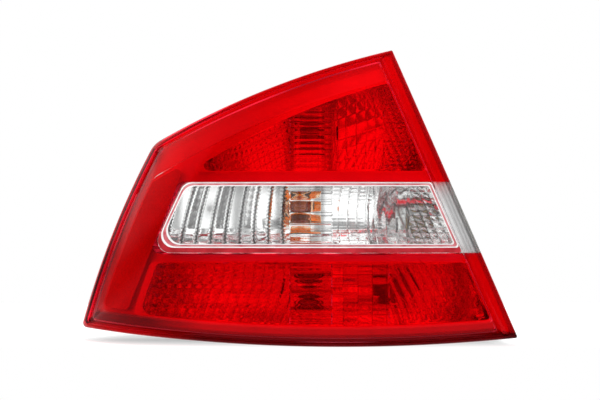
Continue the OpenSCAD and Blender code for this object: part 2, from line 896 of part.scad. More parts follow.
// Bright plate behind the lens that frames the three reflectors and the side bulb
module bezel() {
    frame = outline(
        [top_edge(bezel_in), outer_edge(bezel_in), bottom_edge(bezel_in), inner_edge(bezel_in)],
        [window_r, inset_shoulder_r, lower_round_r, window_r]
    );
    steps = [0.4, 0.6, 0.7, 0.8, 0.9, 1];
    color("gainsboro")
        difference() {
            loft(concat(
                [for (k = steps) on_face(shrunk(frame, face_mid, k), bezel_d)],
                [
                    for (i = [len(steps) - 1 : -1 : 0])
                        on_face(shrunk(frame, face_mid, steps[i]), bezel_d + bezel_t)
                ]
            ));
            for (window = [upper_window(0), clear_window(0), lower_window(0), reflex_outline(reflex_lap)])
                prism(window, -face_reach, 0);
        }
}

// Bulbs and their carrier

cap_y = past - back_y;                                 // rear end of the bulb caps
cap_front = cap_y - cap_l;
plate_front = seal_t - back_y;
plate_back = plate_front + carrier_t;
sleeve_r = cap_r + cap_play + sleeve_t;
neck_r = cap_r - cap_t;
lug_y = cap_front + lug_in;

module bulb_glass(at) {
    bar(at, neck_r - slip, cap_y - globe_l, cap_front + neck_in - slip);
    translate([at.x, cap_y - globe_l, at.y])
        sphere(r = globe_r, $fn = 48);
}

module stop_bulb() {
    color("whitesmoke", 0.6) bulb_glass(stop_at);
}

module turn_bulb() {
    color("orange", 0.8) bulb_glass(turn_at);
}

module reverse_bulb() {
    color("whitesmoke", 0.6) bulb_glass(reverse_at);
}

module tail_bulb() {
    color("whitesmoke", 0.6) bulb_glass(tail_at);
}

module fog_bulb() {
    color("whitesmoke", 0.6) bulb_glass(fog_at);
}

module bulb_caps() {
    color("#c9b27a")
        for (at = bulbs)
            difference() {
                union() {
                    bar(at, cap_r, cap_front, cap_y);
                    for (side = [-1, 1])
                        translate([at.x + side * (cap_r - lug_r), lug_y, at.y])
                            rotate([0, side * 90, 0])
                                cylinder(r = lug_r, h = lug_r + lug_l, $fn = 24);
                }
                bar(at, neck_r, cap_front - past, cap_front + neck_in);
            }
}

module socket_sleeves() {
    color("silver")
        for (at = bulbs)
            difference() {
                bar(at, sleeve_r, cap_front + 2 * lug_r, plate_back - past);
                bar(at, sleeve_r - sleeve_t, cap_front, plate_back);
                translate([at.x - 2 * cap_r, cap_front, at.y - lug_r - slot_play])
                    cube([4 * cap_r, lug_y + lug_r + slot_play - cap_front, 2 * (lug_r + slot_play)]);
            }
}

// Centre lines of the contact strips, each from a bulb to its pin, and the earth strip last
function pin_at(i) = plug_at + [0, (len(bulbs) / 2 - i) * pin_pitch];

strip_runs = [
    [stop_at, pin_at(0)], [turn_at, pin_at(1)], [reverse_at, pin_at(2)], [tail_at, pin_at(3)],
    [fog_at, pin_at(4)], [[plug_at.x, tail_at.y], pin_at(5)]
];

module strip_shape(run, w) {
    along = run[1] - run[0];
    translate(run[0])
        rotate(bearing(run[0], run[1]))
            translate([0, -w / 2])
                square([norm(along), w]);
    for (end = run)
        translate(end)
            circle(r = w / 2 + strip_pad, $fn = 32);
}

module contact_strips() {
    color("goldenrod")
        for (run = strip_runs)
            sheet(plate_back, plate_back + strip_t)
                strip_shape(run, strip_w);
}

module centre_contacts() {
    color("gold")
        for (at = bulbs)
            bar(at, contact_r, cap_y + slip, plate_back);
}

module connector_pins() {
    color("goldenrod")
        for (i = [0 : len(bulbs)])
            bar(pin_at(i), pin_r, plate_back + strip_t, plate_back + strip_t + pin_l, 32);
}

module bulb_carrier() {
    socket = [plug_w, plug_h] + [2, 2] * socket_wall;
    color("#d8d5cb")
        difference() {
            union() {
                sheet(plate_front, plate_back)
                    bulb_field(carrier_r);
                for (at = ears) {
                    bar(at, ear_r, plate_front, plate_back);
                    bar(at, ear_pad_r, slip - back_y, plate_back);
                }
                sheet(plate_back, plate_back + plug_l)
                    translate(plug_at)
                        square(socket, center = true);
            }
            sheet(plate_back, plate_back + plug_l + past)
                translate(plug_at)
                    square([plug_w, plug_h], center = true);
            for (at = bulbs)
                bar(at, sleeve_r + slip, plate_front - past, plate_back + past);
            for (at = ears)
                bar(at, screw_r + screw_play, -back_y - past, plate_back + past);
            sheet(plate_back, plate_back + strip_t + screw_play)
                for (run = strip_runs)
                    strip_shape(run, strip_w + 2 * strip_play);
        }
}

module carrier_seal() {
    color("#2a2a2a")
        difference() {
            sheet(-back_y, plate_front)
                difference() {
                    bulb_field(carrier_r - seal_lap);
                    bulb_field(opening_r + screw_play);
                }
            for (at = ears)
                bar(at, ear_pad_r + screw_play, -back_y - past, plate_front + past);
        }
}

module carrier_screws() {
    color("silver")
        for (at = ears)
            screw(at, plate_back, past + slip - boss_front);
}

holder_front = -back_y - holder_l;

module side_bulb() {
    tip = holder_front - wedge_l + wedge_r;
    color("whitesmoke", 0.6) {
        bar(side_at, wedge_r, tip, holder_front + wedge_in);
        translate([side_at.x, tip, side_at.y])
            sphere(r = wedge_r, $fn = 48);
    }
}

module side_bulb_holder() {
    color("#2a2a2a")
        difference() {
            union() {
                bar(side_at, holder_r - slip, holder_front, past - back_y);
                bar(side_at, holder_flange_r, -back_y, vent_cap_t - back_y);
            }
            bar(side_at, wedge_r + slip, holder_front - past, holder_front + wedge_in + slip);
        }
}

red_lens();
clear_lens();
lens_sealant();
housing();
upper_reflector();
middle_reflector();
lower_reflector();
reflector_screws();
bezel();
side_reflex();
stop_bulb();
turn_bulb();
reverse_bulb();
tail_bulb();
fog_bulb();
bulb_caps();
socket_sleeves();
bulb_carrier();
carrier_seal();
carrier_screws();
centre_contacts();
contact_strips();
connector_pins();
side_bulb();
side_bulb_holder();
vent_caps();
body_gasket();
mounting_studs();
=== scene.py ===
import math
import bmesh
import bpy
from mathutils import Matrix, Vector


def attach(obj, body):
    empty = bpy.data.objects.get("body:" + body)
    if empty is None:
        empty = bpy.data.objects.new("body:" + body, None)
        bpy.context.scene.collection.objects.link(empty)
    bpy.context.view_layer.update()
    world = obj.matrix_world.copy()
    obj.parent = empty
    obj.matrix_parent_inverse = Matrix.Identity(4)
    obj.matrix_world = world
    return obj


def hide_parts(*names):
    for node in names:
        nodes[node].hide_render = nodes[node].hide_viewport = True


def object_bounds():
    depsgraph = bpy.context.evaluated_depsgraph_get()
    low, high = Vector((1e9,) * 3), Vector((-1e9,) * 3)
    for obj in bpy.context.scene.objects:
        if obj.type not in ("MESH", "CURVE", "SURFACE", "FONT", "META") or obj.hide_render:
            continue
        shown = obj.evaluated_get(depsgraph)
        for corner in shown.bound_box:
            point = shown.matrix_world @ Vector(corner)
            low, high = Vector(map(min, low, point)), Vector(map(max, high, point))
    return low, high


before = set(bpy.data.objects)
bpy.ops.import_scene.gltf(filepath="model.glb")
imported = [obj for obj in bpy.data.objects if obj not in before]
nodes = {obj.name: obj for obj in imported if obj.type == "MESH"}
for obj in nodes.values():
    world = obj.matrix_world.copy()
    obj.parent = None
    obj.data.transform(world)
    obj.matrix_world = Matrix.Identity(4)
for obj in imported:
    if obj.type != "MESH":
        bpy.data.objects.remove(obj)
cad_low, cad_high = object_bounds()

# Studio: the lamp stands on a white table with nothing behind it, and is seen square on through a long lens.
# Three lamps light it softly. What shines in it is a white room with dark gaps, dim in front. The table rises a
# little to the back, so that the shadow shows close under the lamp's lower edge.
shot_width = 0.540
eye_height = 0.040
outline_depth = -0.070
eye_distance = 8.0

camera = bpy.data.objects.new("camera", bpy.data.cameras.new("camera"))
camera.data.sensor_width = 36.0
camera.data.lens = camera.data.sensor_width * eye_distance / shot_width
camera.data.clip_end = 50.0
camera.location = (0.0, outline_depth - eye_distance, eye_height)
camera.rotation_euler = (math.radians(90), 0.0, 0.0)
bpy.context.scene.collection.objects.link(camera)
bpy.context.scene.camera = camera
bpy.context.scene.view_settings.view_transform = "Standard"

rays = bpy.context.scene.cycles
rays.max_bounces = 24
rays.transmission_bounces = 16
rays.glossy_bounces = 8
rays.transparent_max_bounces = 24
rays.diffuse_bounces = 4


def wire(tree, *links):
    """Joins each pair of an output and an input."""
    for source, target in links:
        tree.links.new(source, target)


def add(tree, kind, sockets=None, **settings):
    """A shader node with its plain settings, and with the values of its sockets by number or name."""
    node = tree.nodes.new(kind)
    for name, value in settings.items():
        setattr(node, name, value)
    for socket, value in (sockets or {}).items():
        node.inputs[socket].default_value = value
    return node


def ramp(tree, stops, source):
    """Ramp of greys or colours over places from 0 to 1, fed by source."""
    node = add(tree, "ShaderNodeValToRGB")
    band = node.color_ramp
    while len(band.elements) < len(stops):
        band.elements.new(0.5)
    for element, (place, tone) in zip(band.elements, stops):
        element.position = place
        element.color = (*tone, 1) if isinstance(tone, tuple) else (tone, tone, tone, 1)
    wire(tree, (source, node.inputs[0]))
    return node.outputs[0]


def times(tree, a, b):
    """Product of two values."""
    node = add(tree, "ShaderNodeMath", operation="MULTIPLY")
    wire(tree, (a, node.inputs[0]), (b, node.inputs[1]))
    return node.outputs[0]


world = bpy.data.worlds.new("studio")
bpy.context.scene.world = world
world.use_nodes = True
sky = world.node_tree
sky.nodes.clear()
seen = add(sky, "ShaderNodeLightPath")
direction = add(sky, "ShaderNodeTexCoord")
split = add(sky, "ShaderNodeSeparateXYZ")
wire(sky, (direction.outputs["Generated"], split.inputs[0]))


def share(axis):
    """Direction along one axis, from -1 to 1, as a share from 0 to 1."""
    node = add(sky, "ShaderNodeMath", {1: 0.5, 2: 0.5}, operation="MULTIPLY_ADD")
    wire(sky, (split.outputs[axis], node.inputs[0]))
    return node.outputs[0]


# The root gives the narrow cone straight in front, at share 0, more of a ramp's length.
from_front = add(sky, "ShaderNodeMath", {1: 0.5}, operation="POWER")
wire(sky, (share("Y"), from_front.inputs[0]))
dim_front = ramp(
    sky,
    ((0.0, 0.02), (0.14, 0.03), (0.22, 0.25), (0.35, 0.5), (0.7, 0.7), (1.0, 0.9)),
    from_front.outputs[0])
lit_front = ramp(
    sky,
    ((0.0, 0.4), (0.01, 0.5), (0.02, 1.0), (0.05, 1.3), (0.1, 1.5), (0.7, 1.6), (1.0, 1.6)),
    from_front.outputs[0])
side_gaps = ramp(
    sky,
    ((0.0, 1.0), (0.33, 1.0), (0.36, 0.4), (0.4, 0.4), (0.43, 1.0),
     (0.6, 1.0), (0.63, 0.35), (0.65, 0.35), (0.68, 1.0), (1.0, 1.0)),
    share("X"))
level_gaps = ramp(
    sky,
    ((0.0, 0.2), (0.36, 0.3), (0.45, 1.0), (0.57, 1.0), (0.6, 0.25), (0.63, 0.25), (0.66, 1.0), (1.0, 1.0)),
    share("Z"))
gaps = times(sky, side_gaps, level_gaps)
any_mirror = add(sky, "ShaderNodeMath", operation="MAXIMUM")
plain = add(sky, "ShaderNodeBackground", {"Strength": 0.7})
wire(sky, (ramp(sky, ((0.0, 0.12), (0.42, 0.2), (0.55, 0.8), (1.0, 1.05)), share("Z")), plain.inputs["Color"]))
reflected = add(sky, "ShaderNodeBackground")
through_lens = add(sky, "ShaderNodeBackground")
shiny_mix = add(sky, "ShaderNodeMixShader")
white = add(sky, "ShaderNodeBackground", {"Color": (1, 1, 1, 1), "Strength": 1.0})
soft_mix = add(sky, "ShaderNodeMixShader")
eye_mix = add(sky, "ShaderNodeMixShader")
sky_out = add(sky, "ShaderNodeOutputWorld")
wire(
    sky,
    (times(sky, dim_front, gaps), reflected.inputs["Color"]),
    (times(sky, lit_front, gaps), through_lens.inputs["Color"]),
    (seen.outputs["Is Transmission Ray"], shiny_mix.inputs[0]),
    (reflected.outputs[0], shiny_mix.inputs[1]),
    (through_lens.outputs[0], shiny_mix.inputs[2]),
    (seen.outputs["Is Glossy Ray"], any_mirror.inputs[0]),
    (seen.outputs["Is Transmission Ray"], any_mirror.inputs[1]),
    (any_mirror.outputs[0], soft_mix.inputs[0]),
    (plain.outputs[0], soft_mix.inputs[1]),
    (shiny_mix.outputs[0], soft_mix.inputs[2]),
    (seen.outputs["Is Camera Ray"], eye_mix.inputs[0]),
    (soft_mix.outputs[0], eye_mix.inputs[1]),
    (white.outputs[0], eye_mix.inputs[2]),
    (eye_mix.outputs[0], sky_out.inputs[0]),
)


lit_middle = (0.0, 0.0, 0.04)


def soft_box(name, place, width, height, power):
    """Soft box turned to the lamp's middle. It isn't mirrored in the lamp."""
    lamp = bpy.data.lights.new(name, "AREA")
    lamp.shape = "RECTANGLE"
    lamp.size = width
    lamp.size_y = height
    lamp.energy = power
    box = bpy.data.objects.new(name, lamp)
    box.location = place
    box.rotation_euler = (Vector(lit_middle) - Vector(place)).to_track_quat("-Z", "Y").to_euler()
    box.visible_glossy = False
    box.visible_transmission = False
    bpy.context.scene.collection.objects.link(box)


soft_box("left_box", (-1.6, -1.5, 0.7), 1.0, 1.4, 22)
soft_box("right_box", (1.7, -1.6, 0.6), 0.9, 1.4, 16)
soft_box("top_box", (0.0, -0.9, 1.7), 1.6, 0.9, 20)

table_side, table_front, table_back = 3.0, -0.25, 0.3
table_touch, table_gap, table_rise = -0.085, 0.0005, 0.09
shadow_full = -0.02
table_rows = [(y, cad_low.z - table_gap + table_rise * (y - table_touch))
              for y in (table_front, table_touch, table_back)]
table_corners = [(x, y, z) for y, z in table_rows for x in (-table_side, table_side)]
table_mesh = bpy.data.meshes.new("table")
table_mesh.from_pydata(table_corners, [], [(0, 1, 3, 2), (2, 3, 5, 4)])
table = bpy.data.objects.new("table", table_mesh)
bpy.context.scene.collection.objects.link(table)
table_paper = bpy.data.materials.new("table_paper")
table_paper.use_nodes = True
paper = table_paper.node_tree
paper.nodes.clear()
paper_seen = add(paper, "ShaderNodeLightPath")
paper_any = add(paper, "ShaderNodeMath", operation="MAXIMUM")
paper_all = add(paper, "ShaderNodeMath", operation="MAXIMUM")
paper_matt = add(paper, "ShaderNodeBsdfDiffuse", {"Color": (0.45, 0.45, 0.45, 1)})
paper_shown = add(paper, "ShaderNodeBsdfDiffuse", {"Color": (0.8, 0.8, 0.8, 1)})
paper_glow = add(paper, "ShaderNodeEmission", {"Color": (1, 1, 1, 1), "Strength": 0.42})
paper_white = add(paper, "ShaderNodeEmission", {"Color": (1, 1, 1, 1), "Strength": 1.0})
paper_place = add(paper, "ShaderNodeTexCoord")
paper_split = add(paper, "ShaderNodeSeparateXYZ")
paper_front = add(paper, "ShaderNodeMapRange", {"From Min": table_touch, "From Max": shadow_full})
paper_fade = add(paper, "ShaderNodeMixShader")
paper_sum = add(paper, "ShaderNodeAddShader")
paper_mix = add(paper, "ShaderNodeMixShader")
paper_out = add(paper, "ShaderNodeOutputMaterial")
wire(
    paper,
    (paper_seen.outputs["Is Camera Ray"], paper_any.inputs[0]),
    (paper_seen.outputs["Is Glossy Ray"], paper_any.inputs[1]),
    (paper_any.outputs[0], paper_all.inputs[0]),
    (paper_seen.outputs["Is Transmission Ray"], paper_all.inputs[1]),
    (paper_shown.outputs[0], paper_sum.inputs[0]),
    (paper_glow.outputs[0], paper_sum.inputs[1]),
    (paper_all.outputs[0], paper_mix.inputs[0]),
    (paper_matt.outputs[0], paper_mix.inputs[1]),
    (paper_place.outputs["Object"], paper_split.inputs[0]),
    (paper_split.outputs["Y"], paper_front.inputs["Value"]),
    (paper_front.outputs[0], paper_fade.inputs[0]),
    (paper_white.outputs[0], paper_fade.inputs[1]),
    (paper_sum.outputs[0], paper_fade.inputs[2]),
    (paper_fade.outputs[0], paper_mix.inputs[2]),
    (paper_mix.outputs[0], paper_out.inputs[0]),
)
table_mesh.materials.append(table_paper)

# Housing: one tray moulded in black plastic with a fine spark grain. Its inside is lacquered and coated with
# aluminium like the reflectors, so that no dark corner shows through the lens.
MM = 0.001


def new_group(name, inputs, outputs):
    """Empty node group with named inputs (name: value) and outputs (name: socket kind)."""
    group = bpy.data.node_groups.new(name, "ShaderNodeTree")
    for socket, value in inputs.items():
        number = group.interface.new_socket(socket, in_out="INPUT", socket_type="NodeSocketFloat")
        number.default_value = value
    for socket, kind in outputs.items():
        group.interface.new_socket(socket, in_out="OUTPUT", socket_type=kind)
    return group, add(group, "NodeGroupInput"), add(group, "NodeGroupOutput")


# Grain: fine pimples left by the mould as a height, and slow drifts of tone over a piece as a share.
grain_group, grain_in, grain_out = new_group(
    "mould_grain", {"Grain per metre": 2500.0, "Drift per metre": 25.0},
    {"Height": "NodeSocketFloat", "Drift": "NodeSocketFloat"})
grain_place = add(grain_group, "ShaderNodeTexCoord")
grain_fine = add(grain_group, "ShaderNodeTexNoise", {"Detail": 3.0, "Roughness": 0.6})
grain_slow = add(grain_group, "ShaderNodeTexNoise", {"Detail": 4.0, "Roughness": 0.55})
wire(
    grain_group,
    (grain_place.outputs["Object"], grain_fine.inputs["Vector"]),
    (grain_place.outputs["Object"], grain_slow.inputs["Vector"]),
    (grain_in.outputs[0], grain_fine.inputs["Scale"]),
    (grain_in.outputs[1], grain_slow.inputs["Scale"]),
    (grain_fine.outputs[0], grain_out.inputs[0]),
    (grain_slow.outputs[0], grain_out.inputs[1]),
)

# Rubbed edges: a share that is high where a rounded-off normal leaves the real one, broken up by noise.
edge_group, edge_in, edge_out = new_group(
    "rubbed_edges", {"Width": 0.0006, "Strength": 4.0}, {"Rubbed": "NodeSocketFloat"})
edge_round = add(edge_group, "ShaderNodeBevel", samples=4)
edge_real = add(edge_group, "ShaderNodeNewGeometry")
edge_dot = add(edge_group, "ShaderNodeVectorMath", operation="DOT_PRODUCT")
edge_gap = add(edge_group, "ShaderNodeMath", {0: 1.0}, operation="SUBTRACT")
edge_noise = add(edge_group, "ShaderNodeTexNoise", {"Scale": 900.0, "Detail": 3.0})
edge_clip = add(edge_group, "ShaderNodeMath", {1: 1.0}, operation="MINIMUM")
wire(
    edge_group,
    (edge_in.outputs[0], edge_round.inputs["Radius"]),
    (edge_round.outputs[0], edge_dot.inputs[0]),
    (edge_real.outputs["Normal"], edge_dot.inputs[1]),
    (edge_real.outputs["Position"], edge_noise.inputs["Vector"]),
    (edge_dot.outputs["Value"], edge_gap.inputs[1]),
    (edge_clip.outputs[0], edge_out.inputs[0]),
)
edge_strong = times(edge_group, edge_gap.outputs[0], edge_in.outputs[1])
wire(edge_group, (times(edge_group, edge_strong, edge_noise.outputs[0]), edge_clip.inputs[0]))


def place_group(tree, group, *values):
    """A group placed in a material, with its inputs' values in their order."""
    node = add(tree, "ShaderNodeGroup", node_tree=group)
    for socket, value in enumerate(values):
        node.inputs[socket].default_value = value
    return node


def blended(tree, share_socket, a, b):
    """Colour a turning into b. Each is a colour or the socket of one."""
    node = add(tree, "ShaderNodeMix", data_type="RGBA")
    wire(tree, (share_socket, node.inputs[0]))
    for socket, colour in ((node.inputs[6], a), (node.inputs[7], b)):
        if isinstance(colour, tuple):
            socket.default_value = (*colour, 1)
        else:
            wire(tree, (colour, socket))
    return node.outputs[2]


def source_of(socket):
    """The output that feeds an input now."""
    return socket.links[0].from_socket


def span(tree, source, low, high):
    """A share from 0 to 1 spread from low to high."""
    node = add(tree, "ShaderNodeMapRange", {3: low, 4: high})
    wire(tree, (source, node.inputs[0]))
    return node.outputs[0]


def finish(name, dark, light, matt, grain, drift, depth, metal=0.0, rubbed=None):
    """Finish whose colour drifts from dark to light and whose roughness drifts over the pair matt.
    grain and drift are counts per metre, depth is the height of the grain in mm, and rubbed is the colour of
    worn edges."""
    material = bpy.data.materials.new(name)
    material.use_nodes = True
    tree = material.node_tree
    shader = tree.nodes["Principled BSDF"]
    shader.inputs["Metallic"].default_value = metal
    texture = place_group(tree, grain_group, grain, drift)
    tone = ramp(tree, ((0.3, dark), (0.7, light)), texture.outputs[1])
    if rubbed:
        edges = place_group(tree, edge_group)
        tone = blended(tree, edges.outputs[0], tone, rubbed)
    bump = add(tree, "ShaderNodeBump", {"Strength": 0.6, "Distance": depth * MM})
    wire(
        tree,
        (tone, shader.inputs["Base Color"]),
        (span(tree, texture.outputs[1], *matt), shader.inputs["Roughness"]),
        (texture.outputs[0], bump.inputs["Height"]),
        (bump.outputs[0], shader.inputs["Normal"]),
    )
    return material


def paint(material, *names):
    """Gives CAD nodes a finish."""
    for name in names:
        nodes[name].data.materials.clear()
        nodes[name].data.materials.append(material)


black_plastic = finish(
    "black_plastic", (0.010, 0.010, 0.011), (0.026, 0.026, 0.028), (0.36, 0.6), 2600, 30, 0.05,
    rubbed=(0.09, 0.09, 0.092))
black_tree = black_plastic.node_tree
black_shader = black_tree.nodes["Principled BSDF"]
inner_middle = (0.0, -0.25, 0.030)
coat_colour, coat_metal = (0.88, 0.88, 0.89), 0.35
surface = add(black_tree, "ShaderNodeNewGeometry")
to_middle = add(black_tree, "ShaderNodeVectorMath", {0: inner_middle}, operation="SUBTRACT")
facing_in = add(black_tree, "ShaderNodeVectorMath", operation="DOT_PRODUCT")
coated_share = add(black_tree, "ShaderNodeMath", {1: 0.0}, operation="GREATER_THAN")
wire(
    black_tree,
    (surface.outputs["Position"], to_middle.inputs[1]),
    (to_middle.outputs[0], facing_in.inputs[0]),
    (surface.outputs["Normal"], facing_in.inputs[1]),
    (facing_in.outputs["Value"], coated_share.inputs[0]),
    (span(black_tree, coated_share.outputs[0], 0.0, coat_metal), black_shader.inputs["Metallic"]),
)
black_tone = source_of(black_shader.inputs["Base Color"])
coated_tone = blended(black_tree, coated_share.outputs[0], black_tone, coat_colour)
wire(black_tree, (coated_tone, black_shader.inputs["Base Color"]))
paint(black_plastic, "housing")

# Fixing studs: four M6 studs of zinc-plated steel, rolled thread, pressed into the housing's bosses.
# Each has a collar that stops the foam gasket from being crushed when the nut is tightened.
stud_places = [(x, z) for x in (-108.0, 108.0) for z in (-60.0, 60.0)]
thread_pitch, thread_depth, thread_facets = 1.0, 0.42, 32
thread_start, thread_end, thread_step, thread_rings = 0.6, 19.4, 0.125, 151


def new_piece(name, vertices, faces, material, slot, *replaced):
    """Mesh piece from points in mm, fixed to the lamp, with its finish and the CAD nodes it stands for."""
    mesh = bpy.data.meshes.new(name)
    mesh.from_pydata([(x * MM, y * MM, z * MM) for x, y, z in vertices], [], faces)
    mesh.validate()
    if material:
        mesh.materials.append(material)
    piece = bpy.data.objects.new(name, mesh)
    bpy.context.scene.collection.objects.link(piece)
    if slot:
        own(piece, slot, *replaced)
    return piece


def own(piece, slot, *replaced):
    """Fixes a piece to the lamp and hides the CAD nodes it stands for. Its slot is not used."""
    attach(piece, "root")
    if replaced:
        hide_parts(*replaced)


def smooth(piece, crease=30):
    """Smooth shading, with sharp edges where faces meet at more than the crease angle."""
    piece.data.shade_smooth()
    piece.data.set_sharp_from_angle(angle=math.radians(crease))


def turned(places, profile, facets, twist=None):
    """Vertices and faces of bodies turned about Y at each place. The profile is a run of (radius, y).
    twist(angle, y) may give a change of radius."""
    vertices, faces = [], []
    for cx, cz in places:
        start = len(vertices)
        for r, y in profile:
            for k in range(facets):
                a = math.tau * k / facets
                s = r + (twist(a, y) if twist and r > 0.5 else 0.0)
                vertices.append((cx + s * math.cos(a), y, cz + s * math.sin(a)))
        for i in range(len(profile) - 1):
            a = start + i * facets
            b = a + facets
            faces += [(a + k, b + k, b + (k + 1) % facets, a + (k + 1) % facets) for k in range(facets)]
    return vertices, faces


def thread(angle, y):
    """Change of radius of a rolled thread."""
    if y < thread_start or y > thread_end:
        return 0.0
    return -thread_depth * abs(2 * ((y / thread_pitch - angle / math.tau) % 1.0) - 1)


stud_profile = [(0.0, -13.0), (3.5, -13.0), (3.5, -5.0), (5.7, -5.0), (6.0, -4.7), (6.0, -0.8), (5.7, -0.5)]
stud_profile += [(3.0, -0.5)]
stud_profile += [(3.0, thread_start + thread_step * i) for i in range(thread_rings)]
stud_profile += [(2.5, 20.0), (0.0, 20.0)]
zinc = finish(
    "zinc_plate", (0.50, 0.51, 0.53), (0.66, 0.66, 0.65), (0.22, 0.42), 1800, 120, 0.02, 1.0,
    (0.75, 0.75, 0.76))
studs = new_piece(
    "threaded_studs", *turned(stud_places, stud_profile, thread_facets, thread), zinc,
    "plated_steel", "mounting_studs")
smooth(studs, 40)

# Vent caps: two soft caps moulded in black rubber. Each has a plug that is pushed into a hole of the housing,
# and a wider head, and lets the lamp breathe.
rubber = finish(
    "black_rubber", (0.012, 0.012, 0.013), (0.035, 0.034, 0.033), (0.55, 0.8), 1500, 60, 0.03,
    rubbed=(0.06, 0.06, 0.06))
paint(rubber, "vent_caps")

# Body gasket: a ring of closed-cell foam, cut from sheet and stuck on the back of the housing. Its cut cells
# lie open at the surface.
foam = finish("foam", (0.016, 0.016, 0.017), (0.05, 0.05, 0.052), (0.8, 0.95), 900, 45, 0.1)
foam_tree = foam.node_tree
foam_shader = foam_tree.nodes["Principled BSDF"]
cells = add(foam_tree, "ShaderNodeTexVoronoi", {"Scale": 1100.0})
cell_place = add(foam_tree, "ShaderNodeTexCoord")
cell_bump = add(foam_tree, "ShaderNodeBump", {"Strength": 0.8, "Distance": 0.35 * MM})
wire(
    foam_tree,
    (cell_place.outputs["Object"], cells.inputs["Vector"]),
    (cells.outputs["Distance"], cell_bump.inputs["Height"]),
    (source_of(foam_shader.inputs["Normal"]), cell_bump.inputs["Normal"]),
    (cell_bump.outputs[0], foam_shader.inputs["Normal"]),
)
paint(foam, "body_gasket")

# Reflectors: three plastic mouldings, lacquered and coated with bright aluminium, each with a bowl behind its
# bulb. Low in the middle one the bowl is stepped, which is given here as relief in the coat. They are screwed
# to posts of the housing.
mirror_coat = finish(
    "mirror_coat", (0.90, 0.90, 0.905), (0.95, 0.95, 0.955), (0.03, 0.08), 220, 40, 0.012, 1.0)
mirror_tree = mirror_coat.node_tree
mirror_shader = mirror_tree.nodes["Principled BSDF"]
step_low, step_high = -10.0, 14.0
mirror_place = add(mirror_tree, "ShaderNodeTexCoord")
mirror_axes = add(mirror_tree, "ShaderNodeSeparateXYZ")
step_zone = add(mirror_tree, "ShaderNodeMapRange", {1: step_low * MM, 2: step_high * MM})
step_stretch = add(mirror_tree, "ShaderNodeMapping", {"Scale": (9.0, 0.0, 130.0)})
step_noise = add(mirror_tree, "ShaderNodeTexNoise",
                 {"Scale": 1.0, "Detail": 2.0, "Roughness": 0.45, "Distortion": 0.3})
step_bump = add(mirror_tree, "ShaderNodeBump", {"Strength": 1.0, "Distance": 1.3 * MM})
wire(
    mirror_tree,
    (mirror_place.outputs["Object"], mirror_axes.inputs[0]),
    (mirror_axes.outputs["Z"], step_zone.inputs[0]),
    (mirror_place.outputs["Object"], step_stretch.inputs["Vector"]),
    (step_stretch.outputs[0], step_noise.inputs["Vector"]),
    (source_of(mirror_shader.inputs["Normal"]), step_bump.inputs["Normal"]),
    (step_bump.outputs[0], mirror_shader.inputs["Normal"]),
)
step_here = ramp(mirror_tree, ((0.0, 1.0), (0.7, 1.0), (1.0, 0.0)), step_zone.outputs[0])
step_wave = ramp(mirror_tree, ((0.42, 0.0), (0.58, 1.0)), step_noise.outputs[0])
wire(mirror_tree, (times(mirror_tree, step_here, step_wave), step_bump.inputs["Height"]))
paint(mirror_coat, "upper_reflector", "middle_reflector", "lower_reflector")

# Reflector screws: six self-tapping screws of zinc-plated steel, each with a cross recess in its head. They
# are driven from behind, through the housing's floor.
reflector_posts = [(-38, 92), (78, 112), (-95, 25), (-48, 30), (-75, -44), (138, -46)]
reflector_head = -3.0
recess_depth, recess_above = 1.5, 0.3
recess_floor, recess_mouth = (0.7, 0.25), (1.9, 0.5)


def copied_node(piece_name, node):
    """A copy of a CAD node's mesh, welded, for detail that the CAD node hasn't."""
    mesh = nodes[node].data.copy()
    weld = bmesh.new()
    weld.from_mesh(mesh)
    bmesh.ops.remove_doubles(weld, verts=weld.verts, dist=1e-6)
    weld.to_mesh(mesh)
    weld.free()
    piece = bpy.data.objects.new(piece_name, mesh)
    bpy.context.scene.collection.objects.link(piece)
    return piece


def skin(name, rings, closed=False):
    """Solid through rings of equal length, with a fan over its first and last ring, or closed on itself."""
    n, count = len(rings[0]), len(rings)
    vertices = [p for ring in rings for p in ring]
    faces = []
    for i in range(count if closed else count - 1):
        a, b = i * n, (i + 1) % count * n
        faces += [(a + k, b + k, b + (k + 1) % n, a + (k + 1) % n) for k in range(n)]
    if not closed:
        for start, turned_over in ((0, False), ((count - 1) * n, True)):
            hub = len(vertices)
            ring = vertices[start:start + n]
            vertices.append(tuple(sum(p[i] for p in ring) / n for i in range(3)))
            for k in range(n):
                a, b = start + k, start + (k + 1) % n
                faces.append((hub, b, a) if turned_over else (hub, a, b))
    return new_piece(name, vertices, faces, None, None)


def at_depth(points, y):
    """Points of an outline laid at one depth."""
    return [(x, y, z) for x, z in points]


def prism(name, points, y0, y1):
    """Straight solid over an outline."""
    return skin(name, [at_depth(points, y0), at_depth(points, y1)])


def carve(piece, tool, how):
    """Cuts, joins or crosses a piece with a tool, which is used up."""
    step = piece.modifiers.new("carve", "BOOLEAN")
    step.operation, step.object, step.solver = how, tool, "MANIFOLD"
    worked_out = bpy.context.evaluated_depsgraph_get()
    shaped = bpy.data.meshes.new_from_object(piece.evaluated_get(worked_out))
    piece.modifiers.clear()
    piece.data = shaped
    bpy.data.objects.remove(tool)
    return piece


def cross(cx, cz, reach, half):
    """Outline of a cross recess, drawn anticlockwise, with arms of this reach and half width."""
    arm = [(reach, -half), (reach, half), (half, half)]
    points = []
    for quarter in range(4):
        c, s = round(math.cos(quarter * math.pi / 2)), round(math.sin(quarter * math.pi / 2))
        points += [(cx + x * c - z * s, cz + x * s + z * c) for x, z in arm]
    return points


